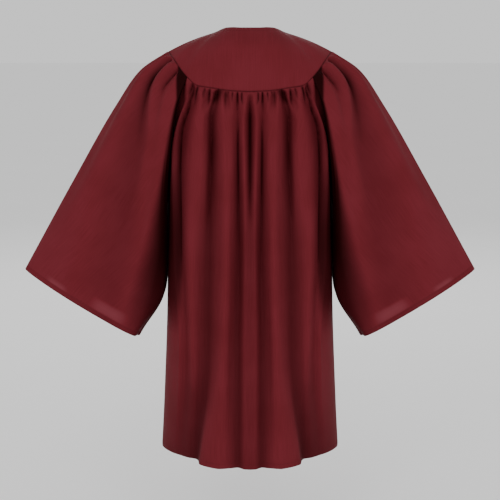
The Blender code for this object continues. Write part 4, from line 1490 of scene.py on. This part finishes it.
class Bench:
    """A primitive on the bench in edit mode, with the tools that shape it."""

    def __init__(self, name: str) -> None:
        """Takes the primitive that was just added.

        Args:
            name: The piece's name.
        """
        self.obj = bpy.context.object
        self.obj.name = name
        bpy.ops.object.select_all(action="DESELECT")
        self.obj.select_set(True)
        bpy.ops.object.transform_apply(location=True, rotation=True, scale=True)
        bpy.ops.object.mode_set(mode="EDIT")

    def pick(self, test: Callable[[Vector, Vector], bool]) -> None:
        """Selects faces.

        Args:
            test: Says of a face's middle and direction whether it is wanted.
        """
        bpy.ops.mesh.select_all(action="DESELECT")
        bpy.ops.mesh.select_mode(type="FACE")
        work = bmesh.from_edit_mesh(self.obj.data)
        for face in work.faces:
            face.select_set(test(face.calc_center_median(), face.normal))
        bmesh.update_edit_mesh(self.obj.data)

    def pick_points(self, test: Callable[[Vector], bool]) -> None:
        """Selects corners.

        Args:
            test: Says of a corner's place whether it is wanted.
        """
        bpy.ops.mesh.select_all(action="DESELECT")
        bpy.ops.mesh.select_mode(type="VERT")
        work = bmesh.from_edit_mesh(self.obj.data)
        for corner in work.verts:
            corner.select_set(test(corner.co))
        work.select_flush_mode()
        bmesh.update_edit_mesh(self.obj.data)

    def extrude(self, move: Point, scale: Point = (1, 1, 1)) -> None:
        """Extrudes what is selected, and scales its new end about its own middle.

        Args:
            move: How far the new end goes.
            scale: The new end's scale on each axis.
        """
        bpy.ops.mesh.extrude_region_move(TRANSFORM_OT_translate={"value": move})
        work = bmesh.from_edit_mesh(self.obj.data)
        places = [corner.co for corner in work.verts if corner.select]
        self.resize(scale, tuple(sum(places, Vector()) / len(places)))

    def resize(self, scale: Point, centre: Point) -> None:
        """Scales what is selected about a centre."""
        if scale != (1, 1, 1):
            bpy.ops.transform.resize(value=scale, center_override=centre)

    def bisect(self, place: Point, direction: Point) -> None:
        """Cuts the whole mesh's faces in two along a plane, and keeps both sides."""
        bpy.ops.mesh.select_all(action="SELECT")
        bpy.ops.mesh.bisect(plane_co=place, plane_no=direction)

    def done(self, bevel: float = 0.0, angle: float = 40.0, turn_out: bool = False) -> bpy.types.Object:
        """Leaves edit mode, and rounds and smooths the piece.

        Args:
            bevel: The width of its rounded edges.
            angle: The angle in degrees above which an edge stays sharp.
            turn_out: Whether its faces are merged and turned outwards first.

        Returns:
            The piece.
        """
        if turn_out:
            bpy.ops.mesh.select_all(action="SELECT")
            bpy.ops.mesh.remove_doubles(threshold=0.001)
            bpy.ops.mesh.normals_make_consistent(inside=False)
        bpy.ops.object.mode_set(mode="OBJECT")
        if bevel:
            rounded = self.obj.modifiers.new("rounded", "BEVEL")
            rounded.width, rounded.limit_method = bevel, "ANGLE"
            rounded.segments = 2
            bpy.ops.object.modifier_apply(modifier="rounded")
        bpy.ops.object.shade_smooth_by_angle(angle=math.radians(angle))
        return self.obj


@dataclass(frozen=True)
class Stitching:
    """A row of machine stitches, each a short run of thread that dips at both ends."""

    pitch: float = 3.0
    length: float = 2.2
    thick: float = 0.46
    lift: float = 0.06
    dip: float = 0.16
    taper: float = 0.55

    def one(self) -> tuple[Grid, list[tuple[int, ...]]]:
        """Models one stitch, along X with its outer side up.

        Returns:
            Its corners, and its faces by their corners' numbers.
        """
        bpy.ops.mesh.primitive_cylinder_add(
            vertices=6,
            radius=self.thick / 2,
            depth=self.length * 0.5,
            location=(0, 0, self.lift),
            rotation=(0, math.pi / 2, 0),
        )
        bench = Bench("stitch")
        for side in (-1, 1):
            bench.pick(lambda place, normal: normal.x * side > FACING)
            bench.extrude((side * self.length * 0.25, 0, -self.dip), (1, self.taper, self.taper))
        stitch = bench.done(angle=80)
        tables = mesh_tables(stitch)
        bpy.data.objects.remove(stitch)
        return tables

    def row(self, name: str, line: Grid, normals: Grid) -> bpy.types.Object:
        """Lays stitches along a line.

        Args:
            name: The row's name.
            line: The line's points, in millimetres.
            normals: The outward direction at each point.

        Returns:
            The row's object, in metres.
        """
        corners, faces = self.one()
        run = np.append(0.0, np.cumsum(np.linalg.norm(np.diff(line, axis=0), axis=1)))
        at = np.arange(self.pitch / 2, run[-1] - self.pitch / 4, self.pitch)

        def on_line(table: Grid, place: Grid) -> Grid:
            """A table of the line read at places along it."""
            return np.stack([np.interp(place, run, table[:, i]) for i in range(3)], -1)

        along = on_line(line, at + self.length / 2) - on_line(line, at - self.length / 2)
        along /= np.linalg.norm(along, axis=1, keepdims=True)
        side = np.cross(on_line(normals, at), along)
        side /= np.linalg.norm(side, axis=1, keepdims=True)
        out = np.cross(along, side)
        middles = on_line(line, at)
        x, y, z = corners.T[:, None, :, None]
        copies = middles[:, None] + x * along[:, None] + y * side[:, None] + z * out[:, None]
        return mesh_of_copies(name, list(copies * MM), faces)


# ------------------------------------------------------------------------------------------------ the gown


class Held(Enum):
    """How a sheet is held: gathered or draped."""

    GATHERED = "gathered"
    DRAPED = "draped"


@dataclass(frozen=True)
class Cut:
    """A piece as it is cut, net of its allowances: its flat width, length and area, in metres."""

    width: float
    length: float
    area: float
    held: Held
    hangs_from: tuple[str, ...] = ()


@dataclass
class Cloths:
    """The gown's cut and sewn pieces."""

    body: BodyForm = field(default_factory=BodyForm)
    yoke: YokeForm = field(default_factory=YokeForm)
    sleeve: SleeveForm = field(default_factory=SleeveForm)
    sheets: list[Sheet] = field(default_factory=list)
    # Painted shade on the yokes, over the shoulders.
    shoulder_shade: float = 0.12
    shade_drop: float = 34.0
    shade_run: float = 26.0
    front_half: Grid = field(init=False)

    def cut(self) -> None:
        """Cuts every piece to its form, and sews them."""
        back, back_painted_shade = BACK.half(self.body, self.yoke)
        self.front_half, front_painted_shade = FRONT.half(self.body, self.yoke)
        back_places, front_places = (
            np.concatenate([form.seam_places(), form.head_places(self.yoke)[1:]]) for form in (BACK, FRONT)
        )
        back_yoke = whole(self.yoke.half(back_places, Side.BACK))
        front_yoke = self.yoke.half(front_places, Side.FRONT)[:, ::-1]
        sleeve, sleeve_painted_shade = self.sleeve.grid(self.ring(back, self.front_half))
        back_panel_painted_shade = np.concatenate([back_painted_shade[:, ::-1][:, :-1], back_painted_shade], axis=1)
        seams, top, bottom, zip_edge = ("top", "first"), ("top",), ("bottom",), ("last",)
        # Painted shade: the yokes are drawn darker towards their top, where they turn over the shoulders.
        back_yoke_painted_shade, front_yoke_painted_shade = (
            self.shoulder_shade * smooth_step((grid[..., 2] + self.shade_drop) / self.shade_run)
            for grid in (back_yoke, front_yoke)
        )
        front, front_painted_shade = self.front_half[:, ::-1], front_painted_shade[:, ::-1]
        right = [
            Sheet("front_right", front, front_painted_shade, False, seams, bottom, zip_edge),
            Sheet("front_yoke_right", front_yoke, front_yoke_painted_shade, False, ("bottom", "first"), top, zip_edge),
            Sheet("sleeve_right", sleeve[:, ::-1], sleeve_painted_shade[:, ::-1], True, top, bottom),
        ]
        self.sheets = [
            Sheet("back_panel", whole(back), back_panel_painted_shade, False, ("top", "first", "last"), bottom),
            Sheet("back_yoke", back_yoke, back_yoke_painted_shade, False, ("bottom", "first", "last"), top),
            *right,
            *[sheet.mirror(sheet.name.replace("right", "left")) for sheet in right],
        ]
        sew(self.sheets)

    def ring(self, back: Grid, front: Grid) -> Grid:
        """Follows the +X armhole from the shoulder, down the back and up the front.

        Args:
            back: The half back panel.
            front: The half front.

        Returns:
            The ring's points.
        """
        back_head = self.yoke.point("edge", BACK.head_places(self.yoke), Side.BACK)
        front_head = self.yoke.point("edge", FRONT.head_places(self.yoke), Side.FRONT)
        back_arm, front_arm = back[0, -BACK.arm_steps :], front[0, -FRONT.arm_steps :]
        return np.concatenate([back_head[::-1], back_arm, front_arm[::-1][1:], front_head[:-1]])

    def dress(self, material: bpy.types.Material, thread: bpy.types.Material) -> None:
        """Builds every piece over the solid that it stands for, with its stitches.

        Args:
            material: The cloth's finish.
            thread: The thread's finish.
        """
        stitching = Stitching()
        for sheet in self.sheets:
            obj = sheet.build()
            obj.name = f"cloth_{sheet.name}"
            obj.data.materials.append(material)
            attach(obj, GOWN_BODY)
            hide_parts(sheet.name)
            for edge in sheet.turned + sheet.stitched:
                row = stitching.row(f"stitches_{sheet.name}_{edge}", *sheet.stitch_line(edge))
                row.data.materials.append(thread)
                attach(row, GOWN_BODY)


@dataclass(frozen=True)
class Zip:
    """The closed coil zip under the fronts' meeting edges.

    Its edge is the line where the fronts meet. The slider and the tab are modelled in the zip's own frame,
    which is across, out and up, and a field named out is a place on the second of these.
    """

    edge: Grid
    top_place: tuple[float, float] = (99.0, 83.0)
    slider_drop: float = 100.6
    chain_drop: float = 105.5
    stop_drop: float = 664.0
    end_drop: float = 668.0
    cloth: float = 1.1
    pitch: float = 1.5
    coil_out: float = -1.05
    coil_radius: float = 0.60
    coil_length: float = 1.8
    coil_across: float = 1.5
    coil_depth: float = 1.35
    backing_out: float = -1.92
    backing_across: tuple[float, ...] = (3.9, 2.86, 1.9, 1.0, 0.02)
    backing_below: float = 0.4
    backing_thickness: float = 0.3
    backing_rows: int = 60
    slider_half: float = 3.6
    slider_length: float = 9.0
    front_plate: tuple[float, float] = (0.2, 1.3)
    back_plate: tuple[float, float] = (-3.3, -2.3)
    flange: float = 0.62
    flange_across: float = 3.0
    plate_cuts: tuple[float, float] = (-2.6, -5.2)
    plate_foot: float = 0.84
    plate_head: float = 0.90
    wedge_middle: Point = (0, -1.0, -2.0)
    wedge_size: Point = (2.6, 2.7, 3.4)
    wedge_end: float = -3.7
    wedge_taper: float = 0.25
    bridge_out: float = 1.15
    bridge_top: float = -1.5
    bridge_middle: float = -4.1
    bridge_width: float = 1.6
    pivot_down: float = 3.6
    pivot_out: float = 2.3
    tab_above: float = 0.5
    tab_below: float = 19.0
    tab_width: float = 5.0
    tab_thickness: float = 1.0
    window_half: float = 1.5
    window_from: float = 1.0
    window_to: float = 4.9
    waist_up: float = 6.0
    foot_up: float = 1.5
    grip_rim: float = 0.6
    grip_depth: float = 0.22
    stop_width: float = 6.0
    stop_depth: float = 2.2
    stop_middle: float = 2.2
    stop_thinner: float = 0.7
    tape_out: float = -0.6
    tape_stitch_across: float = 3.7

    def line(self, drop: Grid) -> Grid:
        """How far forward the inner side of the fronts is.

        Args:
            drop: Drops along the zip.

        Returns:
            The place on Y at each drop.
        """
        top_drop, top_forward = self.top_place
        drops, places = np.append(top_drop, -self.edge[:, 2]), np.append(top_forward, self.edge[:, 1])
        return np.interp(drop, drops, places) - self.cloth

    def place(self, drop: float) -> Matrix:
        """Turns a piece's own frame to the zip's lean.

        Args:
            drop: The piece's drop.

        Returns:
            The turn and the move.
        """
        span = 20
        start, end = self.line(drop), self.line(drop + span)
        return Matrix.Translation((0, start, -drop)) @ Matrix.Rotation(math.atan2(end - start, span), 4, "X")

    def finished(
        self, obj: bpy.types.Object, place: Matrix, body: str, material: bpy.types.Material
    ) -> None:
        """Puts a modelled piece in its place in metres, and dresses it.

        Args:
            obj: The piece.
            place: Where its own frame goes.
            body: The body that it rides on.
            material: Its finish.
        """
        obj.data.transform(Matrix.Scale(MM, 4) @ place)
        obj.data.materials.clear()
        obj.data.materials.append(material)
        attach(obj, body)
        log.info("%s: %d faces", obj.name, len(obj.data.polygons))

    def coil(self) -> bpy.types.Object:
        """Models one turn of the coil, and copies it down both sides of the zip.

        Returns:
            The whole coil.
        """
        bpy.ops.mesh.primitive_cylinder_add(
            vertices=8,
            radius=self.coil_radius,
            depth=self.coil_length,
            location=(self.coil_across, 0, 0),
            rotation=(0, math.pi / 2, 0),
        )
        bench = Bench("coil_turn")
        bench.resize((1, self.coil_depth, 1), (0, 0, 0))
        bench.pick(lambda middle, normal: normal.x < -FACING)
        bench.extrude((-0.35, 0, 0.10), (1, 1, 0.60))
        bench.extrude((-0.60, 0, 0.05), (1, 0.9, 1.0))
        bench.extrude((-0.15, 0, 0), (1, 0.6, 0.6))
        bench.pick(lambda middle, normal: normal.x > FACING)
        bench.extrude((0.15, 0, 0), (1, 0.7, 0.7))
        turn = bench.done(angle=80)
        corners, faces = mesh_tables(turn)
        bpy.data.objects.remove(turn)
        x, y, z = corners.T
        drops = np.arange(self.chain_drop + self.pitch, self.stop_drop, self.pitch)
        copies = []
        reach = 5
        for side, offset in ((1.0, 0.0), (-1.0, self.pitch / 2)):
            for drop in drops + offset:
                lean = math.atan2(self.line(drop + reach) - self.line(drop - reach), 2 * reach)
                along = np.array([0.0, math.sin(lean), -math.cos(lean)])
                out = np.array([0.0, math.cos(lean), math.sin(lean)])
                start = np.array([0.0, self.line(drop), -drop]) + out * self.coil_out
                sideways = start + np.outer(side * x, (1, 0, 0))
                copies.append(sideways + np.outer(y, out) - np.outer(side * z, along))
        return mesh_of_copies("zip_coil", copies, faces)

    def backing(self, name: str, side: float) -> bpy.types.Object:
        """The inner edge of one tape, which the coil is sewn to.

        Args:
            name: The side's name.
            side: 1 for the right and -1 for the left.

        Returns:
            The strip.
        """
        drops = np.linspace(self.chain_drop, self.stop_drop + self.backing_below, self.backing_rows)
        across = np.array(self.backing_across) * side
        x, drop = np.meshgrid(across[:: int(side)], drops)
        grid = np.stack([x, self.line(drop) + self.backing_out, -drop], -1)
        strip = Sheet(f"zip_coil_tape_{name}", grid, np.zeros(x.shape), thickness=self.backing_thickness)
        return strip.build()

    def slider(self) -> bpy.types.Object:
        """Models the slider: two plates with turned-in sides, the wedge between them, and the bridge.

        Returns:
            The slider, in the zip's own frame.
        """
        pieces = []
        plates = (
            ("front_plate", self.front_plate, -self.flange),
            ("back_plate", self.back_plate, self.flange),
        )
        for name, (low, high), turned in plates:
            middle = (0, (low + high) / 2, -self.slider_length / 2)
            size = (2 * self.slider_half, high - low, self.slider_length)
            bpy.ops.mesh.primitive_cube_add(size=1, location=middle, scale=size)
            bench = Bench(name)
            for across in (-self.flange_across, self.flange_across):
                bench.bisect((across, 0, 0), (1, 0, 0))
            for down in self.plate_cuts:
                bench.bisect((0, 0, down), (0, 0, 1))
            bench.pick(lambda place, normal: abs(place.x) > self.flange_across and normal.y * turned > 0.5)
            bench.extrude((0, turned, 0))
            bench.pick(lambda place, normal: normal.z < -FACING)
            bench.resize((self.plate_foot, 1, 1), middle)
            bench.pick(lambda place, normal: normal.z > FACING)
            bench.resize((self.plate_head, 1, 1), middle)
            pieces.append(bench.done(bevel=0.22))
        bpy.ops.mesh.primitive_cube_add(size=1, location=self.wedge_middle, scale=self.wedge_size)
        bench = Bench("wedge")
        bench.pick(lambda place, normal: normal.z < -FACING)
        bench.resize((self.wedge_taper, 1, 1), (0, self.wedge_middle[1], self.wedge_end))
        pieces.append(bench.done(bevel=0.2))
        bpy.ops.mesh.primitive_plane_add(
            size=1,
            location=(0, self.bridge_out, self.bridge_top),
            rotation=(math.pi / 2, 0, 0),
            scale=(self.bridge_width, 1.0, 1.0),
        )
        bench = Bench("bridge")
        bench.pick(lambda place, normal: True)
        centre = (0, self.bridge_out, self.bridge_middle)
        bpy.ops.mesh.spin(steps=12, angle=math.pi, center=centre, axis=(1, 0, 0))
        pieces.append(bench.done(bevel=0.18, turn_out=True))
        return joined("zip_slider", pieces)

    def tab(self) -> bpy.types.Object:
        """Models the pull tab: a plate with a window for the bridge and a sunk grip.

        Returns:
            The tab, in the zip's own frame.
        """
        top, bottom = -self.pivot_down + self.tab_above, -self.pivot_down - self.tab_below
        window_top, window_foot = top - self.window_from, top - self.window_to
        waist, foot = bottom + self.waist_up, bottom + self.foot_up
        middle = (0, self.pivot_out, (top + bottom) / 2)
        size = (self.tab_width, self.tab_thickness, top - bottom)
        bpy.ops.mesh.primitive_cube_add(size=1, location=middle, scale=size)
        bench = Bench("zip_tab")
        for across in (-self.window_half, self.window_half):
            bench.bisect((across, 0, 0), (1, 0, 0))
        for down in (window_top, window_foot, waist, foot):
            bench.bisect((0, 0, down), (0, 0, 1))
        bench.pick(
            lambda place, normal: abs(place.x) < self.window_half
            and window_foot < place.z < window_top
            and abs(normal.y) > FACING
        )
        bpy.ops.mesh.bridge_edge_loops()
        for down, share in ((bottom, 0.80), (foot, 1.24), (waist, 1.16)):
            bench.pick_points(lambda place: abs(place.z - down) < 0.1)
            bench.resize((share, 1, 1), (0, self.pivot_out, down))
        bench.pick(lambda place, normal: normal.y > FACING and foot < place.z < window_foot)
        bpy.ops.mesh.inset(thickness=self.grip_rim, depth=0.0)
        bench.extrude((0, -self.grip_depth, 0))
        return bench.done(bevel=0.16)

    def stop(self) -> bpy.types.Object:
        """Models the stop clamped over the foot of the coil.

        Returns:
            The stop, in its place.
        """
        drop = (self.stop_drop + self.end_drop) / 2
        centre = (0, self.coil_out, 0)
        size = (self.stop_width, self.stop_depth, self.end_drop - self.stop_drop)
        bpy.ops.mesh.primitive_cube_add(size=1, location=centre, scale=size)
        bench = Bench("zip_stop")
        for across in (-self.stop_middle, self.stop_middle):
            bench.bisect((across, 0, 0), (1, 0, 0))
        bench.pick(lambda place, normal: abs(place.x) > self.stop_middle and abs(normal.y) > FACING)
        bench.resize((1, self.stop_thinner, 1), centre)
        obj = bench.done(bevel=0.3)
        obj.data.transform(self.place(drop))
        return obj

    def dress(self, thread: bpy.types.Material) -> None:
        """Builds the zip's pieces over their solids, and gives the tapes their weave.

        Args:
            thread: The thread's finish.
        """
        metal, whole_zip = EnamelledMetal().make(), Matrix.Identity(4)
        coil = self.coil()
        self.finished(coil, whole_zip, GOWN_BODY, NylonCoil().make())
        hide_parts("zip_chain")
        slider = self.slider()
        self.finished(slider, self.place(self.slider_drop), GOWN_BODY, metal)
        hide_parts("slider")
        tab = self.tab()
        self.finished(tab, self.place(self.slider_drop), TAB_BODY, metal)
        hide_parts("pull_tab")
        self.finished(self.stop(), whole_zip, GOWN_BODY, metal)
        weave = WovenTape().make()
        for name, side in (("right", 1.0), ("left", -1.0)):
            backing = self.backing(name, side)
            backing.data.materials.append(weave)
            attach(backing, GOWN_BODY)
        drops = np.linspace(self.chain_drop + 1, self.stop_drop, 120)
        stitching, forward = Stitching(pitch=2.0, length=1.5), np.tile((0.0, 1.0, 0.0), (len(drops), 1))
        for name, side in (("zip_tape_right", 1.0), ("zip_tape_left", -1.0)):
            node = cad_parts[name]
            node.data.materials.clear()
            node.data.materials.append(weave)
            across = np.full_like(drops, side * self.tape_stitch_across)
            places = np.stack([across, self.line(drops) + self.tape_out, -drops], -1)
            row = stitching.row(f"stitches_{name}", places, forward)
            row.data.materials.append(thread)
            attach(row, GOWN_BODY)
        log.info("zip tapes: woven")


@dataclass(frozen=True)
class SoftLight:
    """A square soft light: its place and its width in metres, and its power in watts."""

    name: str
    place: Point
    width: float
    power: float


@dataclass
class Studio:
    """A pale floor and room, soft lights and the camera, in metres."""

    camera_at: Point = (0.0, -2.0, 0.0)
    camera_aim: Point = (0.0, 0.0, -0.3533)
    lens: float = 90.29
    floor_drop: float = 0.86
    floor_size: float = 60.0
    floor_tones: tuple[Colour, Colour] = ((0.90, 0.90, 0.90), (0.93, 0.93, 0.93))
    room_strength: float = 0.9
    light_aim: Point = (0.0, 0.0, -0.36)
    lights: tuple[SoftLight, ...] = (
        SoftLight("key", (-0.7, -2.6, 1.1), 0.9, 15),
        SoftLight("fill", (0.8, -2.6, 0.8), 0.9, 12),
        SoftLight("back", (0.0, 2.6, 1.1), 1.2, 20),
    )

    def aimed(self, obj: bpy.types.Object, place: Point, aim: Point) -> None:
        """Puts an object in the scene, pointing at a place.

        Args:
            obj: The object.
            place: Where it goes.
            aim: Where it points.
        """
        obj.location = place
        obj.rotation_euler = (Vector(aim) - Vector(place)).to_track_quat("-Z", "Y").to_euler()
        bpy.context.scene.collection.objects.link(obj)

    def build(self) -> None:
        """Sets up the floor, the room's light, the lights and the camera."""
        bpy.ops.mesh.primitive_plane_add(size=self.floor_size, location=(0.0, 0.0, -self.floor_drop))
        floor = bpy.context.object
        floor.name = "floor"
        nodes = Nodes("pale_floor")
        grain = nodes.noise(nodes.place(), 3.0)
        nodes.set(Base_Color=nodes.blend(grain, *self.floor_tones), Roughness=0.9)
        floor.data.materials.append(nodes.material)
        world = bpy.data.worlds.new("pale_room")
        bpy.context.scene.world = world
        world.use_nodes = True
        sky = world.node_tree.nodes["Background"]
        sky.inputs["Color"].default_value = (1.0, 1.0, 1.0, 1.0)
        sky.inputs["Strength"].default_value = self.room_strength
        for light in self.lights:
            lamp = bpy.data.lights.new(light.name, "AREA")
            lamp.size, lamp.energy = light.width, light.power
            self.aimed(bpy.data.objects.new(light.name, lamp), light.place, self.light_aim)
        camera = bpy.data.cameras.new("camera")
        camera.lens = self.lens
        obj = bpy.data.objects.new("camera", camera)
        self.aimed(obj, self.camera_at, self.camera_aim)
        bpy.context.scene.camera = obj


def main() -> None:
    """Builds and dresses the gown piece by piece."""
    logging.basicConfig(level=logging.INFO, format="%(message)s")
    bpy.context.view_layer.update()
    bpy.ops.object.select_all(action="DESELECT")
    cloths = Cloths()
    cloths.cut()
    thread = MaroonThread().make()
    cloths.dress(MaroonCloth().make(), thread)
    Zip(cloths.front_half[:, 0]).dress(thread)
    Studio().build()


if __name__ == "__main__":
    main()
